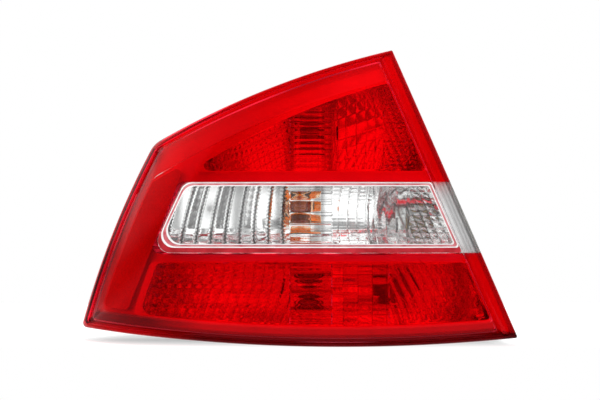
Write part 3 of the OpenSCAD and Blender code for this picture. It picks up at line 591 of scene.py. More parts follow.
def recessed(piece_name, node, places, top, slot):
    """Screws from a CAD node, with a tapered cross recess pressed into each head."""
    screws = copied_node(piece_name, node)
    for cx, cz in places:
        floor = at_depth(cross(cx, cz, *recess_floor), top - recess_depth)
        mouth = at_depth(cross(cx, cz, *recess_mouth), top + recess_above)
        recess = skin("recess", [floor, mouth])
        carve(screws, recess, "DIFFERENCE")
    screws.data.materials.clear()
    screws.data.materials.append(zinc)
    smooth(screws)
    own(screws, slot, node)


recessed("cross_screws", "reflector_screws", reflector_posts, reflector_head, "plated_steel")

# Side reflex plate: moulded in red acrylic, with rows of small prisms pressed into its face. It lies behind
# the side zone of the lens and throws light back.
reflex_red = finish(
    "reflex_red", (0.50, 0.0012, 0.006), (0.60, 0.0018, 0.008), (0.3, 0.42), 1200, 18, 0.01)
reflex_tree = reflex_red.node_tree
reflex_shader = reflex_tree.nodes["Principled BSDF"]
prism_place = add(reflex_tree, "ShaderNodeTexCoord")
prism_dots = add(reflex_tree, "ShaderNodeTexVoronoi", {"Scale": 260.0, "Randomness": 0.0})
prism_bump = add(reflex_tree, "ShaderNodeBump", {"Strength": 0.5, "Distance": 0.3 * MM})
wire(
    reflex_tree,
    (prism_place.outputs["Object"], prism_dots.inputs["Vector"]),
    (prism_dots.outputs["Distance"], prism_bump.inputs["Height"]),
    (prism_bump.outputs[0], reflex_shader.inputs["Normal"]),
)
paint(reflex_red, "side_reflex")

# Bulbs: five 21 W bayonet bulbs of thin blown glass, one of them amber. A pinched stem inside the neck carries
# two wires and the coiled filament across the middle of the globe.
bulbs = {"stop": (10, 102), "turn": (0, 32), "reverse": (108, 20), "tail": (8, -44), "fog": (80, -44)}
globe_y, globe_r, neck_r, neck_end, glass_t = -42.0, 12.5, 6.9, -18.2, 0.6
neck_turn, neck_reach, globe_rings = math.radians(4), 3.0, 20
stem_profile = [(0.0, -30.0), (1.2, -29.8), (1.8, -29.0), (2.0, -27.0), (2.2, -22.0), (4.5, -19.0),
                (4.5, -18.6), (0.0, -18.6)]
coil_reach, coil_r, coil_turn, coil_steps, coil_wire, holder_wire = 2.6, 0.45, 0.9, 160, 0.1, 0.22


def glass_like(name, colour, see_through, tone=0.06, roughness=0.0, ior=1.5):
    """Glass that lets lamp light through to what lies behind it. Its colour drifts a little darker by tone."""
    material = bpy.data.materials.new(name)
    material.use_nodes = True
    tree = material.node_tree
    tree.nodes.clear()
    glass = add(tree, "ShaderNodeBsdfPrincipled",
                {"Roughness": roughness, "IOR": ior, "Transmission Weight": 1.0})
    clear = add(tree, "ShaderNodeBsdfTransparent", {"Color": (*see_through, 1)})
    path = add(tree, "ShaderNodeLightPath")
    mix = add(tree, "ShaderNodeMixShader")
    out = add(tree, "ShaderNodeOutputMaterial")
    drift = place_group(tree, grain_group, 700, 35)
    darker = tuple(c * (1 - tone) for c in colour)
    wire(
        tree,
        (ramp(tree, ((0.3, darker), (0.6, colour)), drift.outputs[1]), glass.inputs["Base Color"]),
        (path.outputs["Is Shadow Ray"], mix.inputs[0]),
        (glass.outputs[0], mix.inputs[1]),
        (clear.outputs[0], mix.inputs[2]),
        (mix.outputs[0], out.inputs[0]),
    )
    return material


def globe_profile(r, neck):
    """Half outline of a bulb's glass from its tip to the end of its neck, with a soft turn into the neck."""
    last = math.pi / 2 + math.acos(neck / r) + neck_turn
    turns = [last * i / globe_rings for i in range(globe_rings + 1)]
    points = [(r * math.sin(a), globe_y - r * math.cos(a)) for a in turns]
    r1, y1 = points[-1]
    points += [(neck + (r1 - neck) * (1 - k) ** 2, y1 + neck_reach * k) for k in (0.3, 0.6, 1.0)]
    return points + [(neck, neck_end)]


def closed_up(piece):
    """Joins the doubled points of a turned body at its axis."""
    weld = bmesh.new()
    weld.from_mesh(piece.data)
    bmesh.ops.remove_doubles(weld, verts=weld.verts, dist=1e-7)
    bmesh.ops.dissolve_degenerate(weld, edges=weld.edges, dist=1e-8)
    bmesh.ops.recalc_face_normals(weld, faces=weld.faces)
    weld.to_mesh(piece.data)
    weld.free()
    smooth(piece, 60)


def wires(name, runs, radius, material, slot):
    """Round wires through runs of points in mm."""
    curve = bpy.data.curves.new(name, "CURVE")
    curve.dimensions = "3D"
    curve.bevel_depth = radius * MM
    curve.bevel_resolution = 2
    curve.use_fill_caps = True
    for run in runs:
        line = curve.splines.new("POLY")
        line.points.add(len(run) - 1)
        for point, (x, y, z) in zip(line.points, run):
            point.co = (x * MM, y * MM, z * MM, 1)
    curve.materials.append(material)
    piece = bpy.data.objects.new(name, curve)
    bpy.context.scene.collection.objects.link(piece)
    own(piece, slot)


bulb_glass = glass_like("bulb_glass", (0.98, 0.985, 0.98), (0.95, 0.95, 0.95), 0.03)
amber_glass = glass_like("amber_glass", (0.93, 0.42, 0.07), (0.95, 0.6, 0.3), 0.15)
tungsten = finish("tungsten", (0.20, 0.20, 0.21), (0.34, 0.34, 0.35), (0.3, 0.5), 4000, 400, 0.005, 1.0)
glass_profile = globe_profile(globe_r, neck_r) + globe_profile(globe_r - glass_t, neck_r - glass_t)[::-1]
for kind, place in bulbs.items():
    cx, cz = place
    material, slot = (amber_glass, "amber_glass") if kind == "turn" else (bulb_glass, "clear_glass")
    closed_up(new_piece(kind + "_globe", *turned([place], glass_profile, 40), material, slot, kind + "_bulb"))
    closed_up(new_piece(kind + "_stem", *turned([place], stem_profile, 24), bulb_glass, "clear_glass"))
    coil = [(cx - coil_reach + 2 * coil_reach * i / coil_steps, globe_y + coil_r * math.sin(i * coil_turn),
             cz + coil_r * math.cos(i * coil_turn)) for i in range(coil_steps + 1)]
    holders = [[(cx + side * 0.9, -29.6, cz), (cx + side * 1.4, -34.0, cz),
                (cx + side * coil_reach, globe_y + 0.4, cz)] for side in (-1, 1)]
    wires(kind + "_filament", [coil], coil_wire, tungsten, "plated_steel")
    wires(kind + "_holders", holders, holder_wire, tungsten, "plated_steel")

# Bulb caps: drawn from brass sheet and rolled on to the neck of the glass. Two pins on each cap lock it in its
# sleeve with a quarter turn.
brass = finish(
    "brass", (0.50, 0.34, 0.14), (0.78, 0.60, 0.30), (0.22, 0.45), 900, 90, 0.02, 1.0, (0.88, 0.74, 0.45))
paint(brass, "bulb_caps")

# Socket sleeves: rolled from zinc-plated steel strip, with slots for the caps' pins. They are pressed into the
# bulb carrier and hold one bulb each.
paint(zinc, "socket_sleeves")

# Bulb carrier: moulded in white plastic with a matt fine grain. The plate holds the five big bulbs, closes the
# back of the housing, and turns into the plug socket.
white_plastic = finish(
    "white_plastic", (0.60, 0.585, 0.53), (0.72, 0.70, 0.65), (0.35, 0.5), 2200, 20, 0.03,
    rubbed=(0.8, 0.79, 0.75))
white_shader = white_plastic.node_tree.nodes["Principled BSDF"]
white_shader.inputs["Subsurface Weight"].default_value = 0.1
white_shader.inputs["Subsurface Radius"].default_value = (0.002, 0.0015, 0.001)
paint(white_plastic, "bulb_carrier")

# Centre contacts: short round brass contacts, one in the middle of each sleeve. They lead from the rear of the
# bulb's cap to the carrier's back.
paint(brass, "centre_contacts")

# Contact strips: stamped from brass sheet and laid into the carrier's back. Each leads from a bulb to its pin,
# and the last one is the earth.
paint(brass, "contact_strips")

# Connector pins: round brass pins in the carrier's plug socket, one on the end of each strip. The car's plug
# goes over them.
paint(brass, "connector_pins")

# Carrier seal: a ring of soft black rubber, moulded in one piece. It is clamped between the carrier and the
# housing and keeps water out.
paint(rubber, "carrier_seal")

# Carrier screws: three zinc-plated steel screws with a cross recess. They go through the ears of the carrier
# into the housing.
carrier_ears, carrier_head = [(-17, 70), (72, 79), (44, -64.5)], 1.5
recessed("ear_screws", "carrier_screws", carrier_ears, carrier_head, "plated_steel")

# Side bulb and its holder: a small glass bulb with a pressed wedge base, pushed into a holder of black rubber.
# The holder is plugged into the housing behind the side zone.
paint(bulb_glass, "side_bulb")
paint(rubber, "side_bulb_holder")

# Bezel: a plastic frame with three openings and a satin aluminium coat, sprung in 1 mm behind the lens. It
# hides the reflectors' edges. Its upper and lower openings are drawn in here to where the optics end.
# Lamp, windows and bezel share their edges: each is an arc with its centre, its radius and a number of points.
top_corner, shoulder = (83.0, 175.0), (-132.0, 90.5)
toe, inner_corner = (-197.5, -74.5), (196.0, -84.0)
top_r, outer_r, bottom_r, straight_r = 794.0, 778.0, 1568.0, 40000.0
crown_r, crown_middle_z = 900.0, -20.0
sweep_r, sweep_middle_x = 1300.0, 60.0
wrap_r, wrap_width = 72.0, 60.0
face_reach = 92.0
upper_high, upper_tip, upper_r, upper_low = 145.0, (-97.0, 66.0), 580.0, 66.0
lower_high, lower_outer, lower_bottom = -16.0, 48.0, 19.0
window_inner = 15.5
lip_r, lip_reach, lip_outer, lip_bottom = 350.0, 1.0, 42.5, 16.5
bezel_front, bezel_back = 4.15, 5.4


def bulge_centre(p, q, r):
    """Centre of the arc of radius r from p to q that bulges to the right of the way from p to q."""
    dx, dz = q[0] - p[0], q[1] - p[1]
    chord = math.hypot(dx, dz)
    k = math.sqrt(r * r - chord * chord / 4) / chord
    return (p[0] + q[0]) / 2 - dz * k, (p[1] + q[1]) / 2 + dx * k


def bowed(p, q, r, inset, points):
    """Edge bowed from p to q and moved in by inset: its centre, its radius and its number of points."""
    return (*bulge_centre(p, q, r), r - inset, points)


def top_edge(t):
    """The lamp's top edge moved in by t, as the three after it are."""
    return bowed(top_corner, shoulder, top_r, t, 90)


def outer_edge(t):
    return bowed(shoulder, toe, outer_r, t, 50)


def bottom_edge(t):
    return bowed(toe, inner_corner, bottom_r, t, 90)


def inner_edge(t):
    return bowed(inner_corner, top_corner, straight_r, t, 50)


def level_top(z):
    """Level edge with the window below it."""
    return 0.0, z - straight_r, straight_r, 60


def level_bottom(z):
    """Level edge with the window above it."""
    return 0.0, z + straight_r, straight_r, 60


def corner(a, b):
    """Where edge a gives way to edge b."""
    dx, dz = b[0] - a[0], b[1] - a[1]
    d = math.hypot(dx, dz)
    along = (d * d + a[2] ** 2 - b[2] ** 2) / (2 * d)
    across = math.sqrt(a[2] ** 2 - along ** 2)
    return a[0] + (along * dx - across * dz) / d, a[1] + (along * dz + across * dx) / d


def outline(edges, rounds, corner_points=9):
    """Closed outline of edges taken anticlockwise. rounds[i] is the radius of the corner before edge i."""
    points = []

    def sweep(cx, cz, r, a0, a1, count):
        turn = (a1 - a0) % math.tau
        for k in range(count):
            a = a0 + turn * k / count
            points.append((cx + r * math.cos(a), cz + r * math.sin(a)))

    def fillet(a, b, r):
        return corner((a[0], a[1], a[2] - r), (b[0], b[1], b[2] - r))

    def bearing(p, q):
        return math.atan2(q[1] - p[1], q[0] - p[0])

    for i, edge in enumerate(edges):
        before, after = edges[i - 1], edges[(i + 1) % len(edges)]
        start = fillet(before, edge, rounds[i])
        end = fillet(edge, after, rounds[(i + 1) % len(edges)])
        a0 = bearing(edge, start)
        sweep(*start, rounds[i], bearing(before, start), a0, corner_points)
        sweep(edge[0], edge[1], edge[2], a0, bearing(edge, end), edge[3])
    return points


def dip(r, d):
    """How far a circle of radius r falls back at a distance d from its crown."""
    return r - math.sqrt(r * r - d * d)


corner_edge = outer_edge(0)


def outer_x(z):
    """Where the lamp ends at its outer side."""
    return corner_edge[0] - math.sqrt(corner_edge[2] ** 2 - (z - corner_edge[1]) ** 2)


def face(x, z):
    """Depth of the lens face at x and z. It turns round the car's corner near the outer edge."""
    from_corner = max(x - outer_x(z), 0.0)
    wrap = dip(wrap_r, wrap_width - from_corner) if from_corner < wrap_width else 0.0
    return dip(crown_r, z - crown_middle_z) + dip(sweep_r, x - sweep_middle_x) + wrap - face_reach


def on_face(points, depth):
    """Points of an outline laid at one depth behind the lens face."""
    return [(x, face(x, z) + depth, z) for x, z in points]


upper_corner = corner(inner_edge(window_inner), level_top(upper_high))


def upper_edges(t):
    return [bowed(upper_corner, upper_tip, upper_r, t, 50), level_bottom(upper_low + t),
            inner_edge(window_inner + t)]


def upper_window(t):
    return outline(upper_edges(t), (3.0, 4.5, 3.0))


def lower_edges(t):
    return [level_top(lower_high - t), outer_edge(lower_outer + t), bottom_edge(lower_bottom + t),
            inner_edge(window_inner + t)]


def lower_window(t):
    return outline(lower_edges(t), (3.0, 6.0, 9.0, 3.0))


satin_coat = finish(
    "satin_coat", (0.88, 0.88, 0.89), (0.94, 0.94, 0.95), (0.38, 0.5), 1200, 40, 0.01, 0.2)
upper_frame = outline(
    [bowed(upper_corner, upper_tip, lip_r, -lip_reach, 50), level_bottom(upper_low - lip_reach),
     inner_edge(window_inner - lip_reach)],
    (3.0, 3.0, 3.0))
lower_frame = outline(
    [level_top(lower_high + lip_reach), outer_edge(lip_outer), bottom_edge(lip_bottom),
     inner_edge(window_inner - lip_reach)],
    (3.0, 6.0, 6.0, 3.0))
bezel = copied_node("bezel_frame", "bezel")
for opening, edge in ((upper_window(0), upper_frame), (lower_window(0), lower_frame)):
    lip = [on_face(opening, bezel_front), on_face(edge, bezel_front), on_face(edge, bezel_back),
           on_face(opening, bezel_back)]
    carve(bezel, skin("bezel_lip", lip, True), "UNION")
bezel.data.materials.clear()
bezel.data.materials.append(satin_coat)
smooth(bezel)
own(bezel, "mirror_coat", "bezel")

# Sealant: a pale hot-melt bead, laid hot into the housing's rim. It glues the lens's leg down and keeps water
# out.
sealant = finish("hot_melt", (0.62, 0.61, 0.58), (0.78, 0.77, 0.74), (0.35, 0.6), 700, 80, 0.06)
paint(sealant, "lens_sealant")

# Lens: one acrylic moulding in two shots, red with a clear part across its middle, about 3 mm thick. Its face
# is bowed and turns round the car's corner at the left. A bead, a groove and a sloping border run round it, and
# the back carries the optics: pillows, flutes and bowed flutes, each over its own bulb and reflector.
lens_wall, leg_length, leg_wall, leg_floor, root_floor = 3.0, 14.0, 2.8, 10.0, 7.4
border_high, groove_floor, slope_foot = 3.1, 7.0, 0.12


def lens_outline(inset):
    """Outline of the lamp moved in by the four widths (top, outer, bottom, inner)."""
    t = min(inset)
    tip = max(1.5, min(t / 4, 3.0))
    rounds = (tip, max(24.0 - t, 10.0), max(4.0, min(t / 2, 7.0)), tip)
    edges = [edge(t) for edge, t in zip((top_edge, outer_edge, bottom_edge, inner_edge), inset)]
    return outline(edges, rounds)


def drawn_in(points, k, middle=(15.0, 55.0)):
    """An outline shrunk toward the middle of the lamp."""
    return [(middle[0] + k * (x - middle[0]), middle[1] + k * (z - middle[1])) for x, z in points]


def plus(inset, t):
    """Four widths, each wider by t."""
    return tuple(a + t for a in inset)


def between(a, b, k):
    """Four widths at the share k of the way from a to b."""
    return tuple(p + (q - p) * k for p, q in zip(a, b))


bead = (4.5, 4.5, 4.5, 11.5)
groove = plus(bead, 2.6)
flat = tuple(g + w for g, w in zip(groove, (6.5, 2.0, 3.5, 0.4)))
window = tuple(f + w for f, w in zip(flat, (12.0, 4.5, 6.5, 1.0)))
inside = plus(groove, 1.3)
inside_root = plus(inside, 0.6)
window_edge = plus(window, 1.0)
edge_line = (0.0,) * 4
leg_inside = (leg_wall,) * 4
bead_profile = ((1.0, 7.0), (0.985, 5.9), (0.95, 5.3), (0.88, 4.85), (0.75, 4.5), (0.6, 4.36), (0.45, 4.36),
                (0.3, 4.5), (0.18, 4.9), (0.09, 5.4), (0.03, 6.1), (0.0, 7.0))
hub, front_rings, back_rings, ring_power = 0.02, 26, 22, 1.5

front = [on_face(drawn_in(lens_outline(window), k), 0.0) for k in
         [hub] + [1 - (1 - i / front_rings) ** ring_power for i in range(2, front_rings)]]
front += [on_face(lens_outline(window_edge), 0.0), on_face(lens_outline(window), slope_foot)]
front += [on_face(lens_outline(between(window, flat, k)), border_high * k + slope_foot * (1 - k))
          for k in (0.08, 0.3, 0.6, 0.92)]
front += [on_face(lens_outline(flat), border_high)]
front += [on_face(lens_outline(plus(groove, t)), d) for t, d in ((0.9, 4.0), (0.45, 4.3), (0.25, 4.7))]
front += [on_face(lens_outline(groove), groove_floor)]
front += [on_face(lens_outline(tuple(w * k for w in bead)), d) for k, d in bead_profile]
front += [on_face(lens_outline(edge_line), leg_length)]
back = [on_face(lens_outline(leg_inside), leg_length), on_face(lens_outline(leg_inside), leg_floor),
        on_face(lens_outline(inside), leg_floor), on_face(lens_outline(inside_root), root_floor)]
back += [on_face(lens_outline(between(window_edge, inside_root, k)), lens_wall + (root_floor - lens_wall) * k)
         for k in (0.6, 0.3, 0.0)]
back += [on_face(drawn_in(lens_outline(window_edge), k), lens_wall) for k in
         [1 - (1 - i / back_rings) ** ring_power for i in range(back_rings - 1, 1, -1)] + [hub]]
lens_shell = skin("lens_shell", front + back)

# The two shots part along shot_edges. The clear window's own edges lie a little further in.
clear_high, clear_outer, clear_low = 56.5, 40.5, -3.5
shot_outer, shot_low, past_lamp = 40.0, -7.8, 198.0


def clear_edges(t):
    return [level_top(clear_high - t), outer_edge(clear_outer + t), level_bottom(clear_low + t),
            inner_edge(window_inner + t)]


def shot_edges(t):
    return [level_top(clear_high - t), outer_edge(shot_outer + t), level_bottom(shot_low + t),
            inner_edge(window_inner + t)]


def plumb_right(x):
    """Upright edge past the lamp's inner side."""
    return x - straight_r, 0.0, straight_r, 4


def clear_window(t):
    return outline(clear_edges(t), (2.0, max(9.0 - t, 2.0), max(9.0 - t, 2.0), 2.0))


def within(x, z, edges):
    """Whether a point lies inside all the edges."""
    return all(math.hypot(x - cx, z - cz) < r for cx, cz, r, _ in edges)


# Each optic gives the height of its pattern in mm, and how near a point lies to the seam between two flutes or
# pillows; the lens darkens its seams by this share as painted shade. Places are given in pitches: mm divided by
# the pitch in mm.
def flute(t, height, square=2.2):
    """Round rods side by side. A higher square makes their tops flatter."""
    off = abs(2 * (t % 1.0) - 1)
    return height * (1 - off ** square), off ** 14


def pillow(s, t, height):
    """Round-topped cushions in rows."""
    a, b = abs(2 * (s % 1.0) - 1), abs(2 * (t % 1.0) - 1)
    return height * (1 - a * a) * (1 - b * b), max(a, b) ** 9


def both(one, other):
    """Two patterns laid over each other."""
    return one[0] + other[0], max(one[1], other[1])


def weaker(one, k):
    """The same pattern with paler painted shade in its seams."""
    return one[0], one[1] * k


def broad(one, k):
    """The same pattern with broader painted shade at its seams."""
    return one[0], one[1] ** k


def dimmed(one, k):
    """The same pattern, with painted shade darkening it all over."""
    return one[0], max(one[1], k)


# From left to right each window has four zones: left of its bulb, in front of the bulb, right of it, and inner.
level_left, level_right, upper_right, clear_right, lower_right = -9.0, 29.0, 76.0, 99.0, 80.0
inner_lean = (inner_corner[0] - top_corner[0]) / (top_corner[1] - inner_corner[1])
upper_bow = upper_edges(0)[0]
clear_middle, clear_half = 23.5, 33.0


def upper_optics(x, z):
    """Pillows along the bowed edge, level flutes, bowed flutes, and small pillows at the inner end."""
    from_bow = upper_bow[2] - math.hypot(x - upper_bow[0], z - upper_bow[1])
    if x < level_left:
        return pillow((x + 0.22 * z) / 5.0, from_bow / 7.2, 1.0)
    if x < level_right:
        return both(flute(z / 5.0, 1.0), weaker(pillow(x / 5.5, 0.5, 0.2), 0.5))
    if x < upper_right:
        bent = (x + 0.0022 * (z - 100) ** 2) / 8.5
        return both(flute(bent, 1.0), weaker(flute(from_bow / 9.0, 0.12), 0.5))
    return pillow((x + inner_lean * z) / 6.5, z / 4.2, 1.1)


def clear_optics(x, z):
    """Broad flutes that lean and bend, with serrated painted shade along their seams, then level flutes, bowed
    flutes, and pillows.
    """
    if x < level_left:
        lean = 24.0 * (z + 9.5) / 66.0 * (level_left - x) / 130.0
        bend = 3.0 * (1 - ((z - clear_middle) / clear_half) ** 2)
        height, seam = flute((x - lean + bend + 0.5 * math.sin(z * 1.9)) / 13.5, 0.9, 5.0)
        serrated = 1.0 + 0.25 * math.sin(z * 2.6 + x)
        return height, min(3.2 * serrated * seam ** 0.6, 1.0)
    if x < level_right:
        return both(flute(z / 9.6, 0.7, 3.0), weaker(flute(x / 9.5, 0.15), 0.3))
    if x < clear_right:
        bent = (x - 0.004 * (z - clear_middle) ** 2) / 8.6
        return both(weaker(flute(bent, 0.6, 4.0), 0.7), weaker(flute(z / 3.4, 0.08), 0.3))
    return dimmed(broad(pillow((x + inner_lean * z) / 7.5, z / 5.2, 1.3), 0.5), 0.1)


def lower_optics(x, z):
    """Leaning flutes with painted shade that darkens to the outside, broad level flutes, squares, and leaning
    flutes.
    """
    if x < level_left:
        leaning = flute((x - 0.25 * (z + 45) + 0.003 * (z + 45) ** 2) / 9.0, 1.3)
        shade = min(max((-35.0 - x) / 260.0, 0.0), 0.28)
        return dimmed(both(leaning, weaker(flute(z / 4.4, 0.2), 0.5)), shade)
    if x < level_right:
        return both(broad(flute((z + 42.0) / 16.0, 1.8), 0.16), weaker(flute(z / 5.3, 0.3), 0.5))
    if x < lower_right:
        return dimmed(both(flute(z / 9.0, 0.5), flute(x / 13.0, 0.6)), 0.08)
    leaning = flute((x + inner_lean * z + 0.004 * (z + 45) ** 2) / 8.2, 1.3)
    return dimmed(both(leaning, weaker(flute(z / 5.2, 0.15), 0.5)), 0.12)


def optics_pad(shape, x0, x1, z0, z1, pitch, border):
    """Optics over one window: a height field on the back of the lens, trimmed to the window."""
    columns, rows = int((x1 - x0) / pitch), int((z1 - z0) / pitch)
    raised, rooted = [], []
    for j in range(rows + 1):
        for i in range(columns + 1):
            x, z = x0 + (x1 - x0) * i / columns, z0 + (z1 - z0) * j / rows
            y = face(x, z) + lens_wall
            raised.append((x, y + shape(x, z)[0] + 0.02, z))
            rooted.append((x, y - 0.8, z))
    n, w = len(raised), columns + 1
    faces = []
    for j in range(rows):
        for i in range(columns):
            a = j * w + i
            faces += [(a, a + w, a + w + 1, a + 1), (n + a, n + a + 1, n + a + w + 1, n + a + w)]
    rim = ([i for i in range(columns)] + [j * w + columns for j in range(rows)]
           + [rows * w + i for i in range(columns, 0, -1)] + [j * w for j in range(rows, 0, -1)])
    faces += [(a, b, n + b, n + a) for a, b in zip(rim, rim[1:] + rim[:1])]
    pad = new_piece("optics_pad", raised + rooted, faces, None, None)
    return carve(pad, prism("trim", border, -95.0, 5.0), "INTERSECT")


def copy_of(piece, name):
    """A second piece with its own mesh."""
    twin = bpy.data.objects.new(name, piece.data.copy())
    bpy.context.scene.collection.objects.link(twin)
    return twin


# The optics of each window: its edges, the pattern, its outline, and the field (x0, x1, z0, z1, pitch) in mm.
red_border, clear_border = 1.5, 4.0
optics = (
    (upper_edges(red_border), upper_optics, upper_window(red_border), (-98.0, 118.0, 65.0, 147.0, 0.8)),
    (lower_edges(red_border), lower_optics, lower_window(red_border), (-156.0, 182.0, -80.0, -15.0, 0.8)),
    (clear_edges(clear_border), clear_optics, clear_window(clear_border), (-134.0, 160.0, -10.0, 57.0, 0.7)),
)
red_lens = copy_of(lens_shell, "red_moulding")
clear_outline = outline(shot_edges(0)[:3] + [plumb_right(past_lamp)], (1.0, 11.0, 11.0, 1.0))
carve(red_lens, prism("clear_cut", clear_outline, -96.0, 6.0), "DIFFERENCE")
clear_lens = carve(lens_shell, prism("clear_core", clear_outline, -96.0, 6.0), "INTERSECT")
clear_lens.name = "clear_moulding"
for lens, (_, shape, border, field) in zip((red_lens, red_lens, clear_lens), optics):
    carve(lens, optics_pad(shape, *field, border), "UNION")


# Where the clear shot was moulded onto the red one, bands of weld show round the window in a fine groove. The two
# white bands are painted highlights of the lit edges of the clear part.
def rim_line(t):
    return outline(clear_edges(t), (2.0, 11.0 + 0.4 * t, 11.0 + 0.4 * t, 2.0))


def shot_line(t):
    return outline(shot_edges(t), (2.0, 11.0, 11.0, 2.0))


weld_back, groove_back = 0.88, 0.9
groove_inner, groove_outer = rim_line(4.2), shot_line(0.1)
rim_groove = [on_face(groove_inner, -1), on_face(groove_outer, -1), on_face(groove_outer, groove_back),
              on_face(groove_inner, groove_back)]
carve(clear_lens, skin("rim_groove", rim_groove, True), "DIFFERENCE")
# The white finish is a painted highlight of the rim's lit edges.
rim_highlight_white = finish("rim_highlight_white", (0.80, 0.78, 0.78), (0.93, 0.92, 0.92), (0.3, 0.5), 900, 60, 0.02)
weld_pink = finish("weld_pink", (0.50, 0.06, 0.08), (0.74, 0.32, 0.34), (0.2, 0.4), 900, 110, 0.02)
weld_red = finish("weld_red", (0.30, 0.002, 0.006), (0.56, 0.02, 0.035), (0.45, 0.6), 900, 90, 0.02)
welds = (
    ("weld_band", shot_line(0.2), rim_line(0.4), 0.6, weld_red),
    ("outer_rim_highlight", rim_line(0.45), rim_line(1.4), 0.4, rim_highlight_white),
    ("weld_seam", rim_line(1.45), rim_line(3.05), 0.7, weld_pink),
    ("inner_rim_highlight", rim_line(3.1), rim_line(4.0), 0.4, rim_highlight_white),
)
for name, outer_line, inner_line, depth, material in welds:
    rings = [on_face(inner_line, depth), on_face(outer_line, depth), on_face(outer_line, weld_back),
             on_face(inner_line, weld_back)]
    weld_line = skin(name, rings, True)
    weld_line.data.materials.append(material)
    smooth(weld_line)
    own(weld_line, "clear_acrylic")

# How deep the colour is painted in each zone of the rim: the zone's widths, its shares at (top, outer, bottom,
# inner), and what the lamp's toe adds. Further in, only the wing beside the windows is deeper. The shares stand
# partly for thicker acrylic in the bead and groove, and partly are painted shade, heavier at the bottom and the
# outer side than at the top.
rims = [edge(0) for edge in (top_edge, outer_edge, bottom_edge, inner_edge)]
rim_zones = (
    (bead, (0.05, 0.12, 0.8, 0.2), -0.6),
    (groove, (0.34, 0.85, 1.0, 0.5), 0.0),
    (flat, (0.28, 0.6, 0.62, 0.18), 0.2),
    (window, (0.0, 0.14, 0.17, 0.0), 0.4),
)
toe_start, toe_width = -90.0, 50.0
plate_reach, plate_share, wing_width, wing_share = 30.0, 0.2, 110.0, 0.25
# Painted shade for the clear rim: the groove's line, the bead's dark rings and its clear rings.
groove_shade, ring_shade, ring_light = 0.9, 0.8, 0.0


def clipped(value):
    """A value kept between 0 and 1."""
    return min(max(value, 0.0), 1.0)


def rim_distances(x, z):
    """How far a point lies from each of the lamp's four edges."""
    return [r - math.hypot(x - cx, z - cz) for cx, cz, r, _ in rims]


def thick_and_shaded_share(x, z):
    """Share of deeper red in the bead, groove and borders: partly for thicker acrylic, partly painted shade,
    heavier at the bottom, the toe and the outer side where the lens turns.
    """
    distances = rim_distances(x, z)
    wing = wing_share * clipped(2.0 - 2.0 * distances[1] / wing_width)
    if distances[1] < plate_reach:
        wing = plate_share
    at_toe = clipped((toe_start - x) / toe_width) if distances[2] < window[2] + 0.01 else 0.0
    for widths, shares, toe_share in rim_zones:
        here = [deep for t, width, deep in zip(distances, widths, shares) if t < width + 0.01]
        if here:
            return clipped(sum(here) + toe_share * at_toe + (wing if widths is window else 0.0))
    return wing


def stripe_shade_share(x, z):
    """In the clear part the rings of the bead along the inner edge are painted as dark and clear stripes of shade,
    and the groove beyond as a dark line of painted shade.
    """
    t = rim_distances(x, z)[3]
    if t > groove[3] + 0.01:
        return groove_shade if t < flat[3] + 0.1 else 0.0
    nearest = min(range(len(bead_profile)), key=lambda i: abs(t - bead[3] * bead_profile[i][0]))
    return ring_shade if nearest % 2 else ring_light


def mark_optics(piece, deep_and_shade_share):
    """Vertex shares that the finish reads: where the colour is deeper from thicker acrylic and painted shade,
    where the optics are, and the painted shade of their seams.
    """
    deep_and_shade_values, seams, fields = [], [], []
    for vertex in piece.data.vertices:
        x, y, z = (c / MM for c in vertex.co)
        seam = field = 0.0
        if y > face(x, z) + lens_wall - 0.05:
            for edges, shape, _, _ in optics:
                if within(x, z, edges):
                    seam, field = shape(x, z)[1], 1.0
        deep_and_shade_values.append(deep_and_shade_share(x, z))
        seams.append(seam)
        fields.append(field)
    for name, values in (("depth", deep_and_shade_values), ("seam", seams), ("field", fields)):
        piece.data.attributes.new(name, "FLOAT", "POINT").data.foreach_set("value", values)


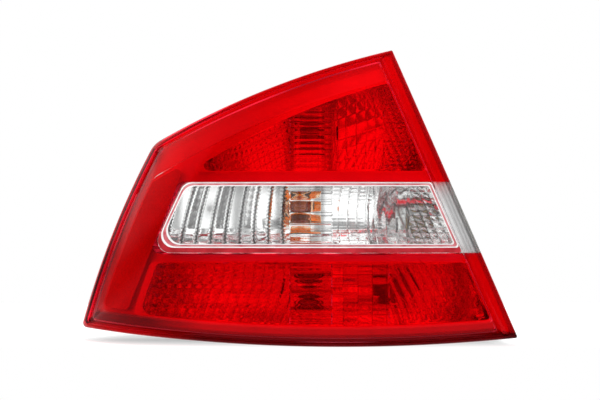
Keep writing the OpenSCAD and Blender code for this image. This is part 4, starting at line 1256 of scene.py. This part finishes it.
def lens_finish(name, colour, see_through, deep, seam_shade_tone, flow_tone, roughness):
    """Moulded acrylic whose colour drifts with the flow of the melt, deepens by a share that is partly thicker
    acrylic and partly painted shade, and carries painted shade in the seams of its optics.
    """
    material = glass_like(name, colour, see_through, flow_tone, roughness, 1.49)
    tree = material.node_tree
    glass = tree.nodes["Principled BSDF"]
    # The depth share deepens the red for thicker acrylic and adds painted shade round the rim.
    depth = add(tree, "ShaderNodeAttribute", attribute_name="depth")
    # The seam share darkens the seams of the optics as painted shade.
    seam = add(tree, "ShaderNodeAttribute", attribute_name="seam")
    field = add(tree, "ShaderNodeAttribute", attribute_name="field")
    place = add(tree, "ShaderNodeTexCoord")
    streaks = add(tree, "ShaderNodeTexNoise", {"Scale": 260.0, "Detail": 5.0, "Roughness": 0.7})
    ripple = add(tree, "ShaderNodeBump", {"Strength": 0.35, "Distance": 0.12 * MM})
    thick_and_shaded = blended(tree, depth.outputs["Fac"], source_of(glass.inputs["Base Color"]), deep)
    wire(
        tree,
        (place.outputs["Object"], streaks.inputs["Vector"]),
        (times(tree, streaks.outputs[0], field.outputs["Fac"]), ripple.inputs["Height"]),
        (ripple.outputs[0], glass.inputs["Normal"]),
        (blended(tree, seam.outputs["Fac"], thick_and_shaded, seam_shade_tone), glass.inputs["Base Color"]),
    )
    return material


# Its deep colour stands for thicker red acrylic and for painted shade at the rim; its seam colour is painted
# shade.
red_acrylic = lens_finish(
    "red_acrylic", (0.92, 0.014, 0.04), (0.95, 0.10, 0.17), (0.08, 0.001, 0.002), (0.20, 0.002, 0.004),
    0.06, 0.03)
red_acrylic.node_tree.nodes["Principled BSDF"].inputs["Specular Tint"].default_value = (1.0, 0.10, 0.14, 1)
# Its deep colour is the painted shade of the rim's stripes; its seam colour is painted shade.
clear_acrylic = lens_finish(
    "clear_acrylic", (0.97, 0.975, 0.97), (0.97, 0.97, 0.97), (0.27, 0.265, 0.26), (0.02, 0.02, 0.02),
    0.03, 0.02)
for piece, node, material, slot, deep_and_shade_share in (
        (red_lens, "red_lens", red_acrylic, "red_acrylic", thick_and_shaded_share),
        (clear_lens, "clear_lens", clear_acrylic, "clear_acrylic", stripe_shade_share)):
    piece.data.materials.clear()
    piece.data.materials.append(material)
    mark_optics(piece, deep_and_shade_share)
    smooth(piece)
    own(piece, slot, node)
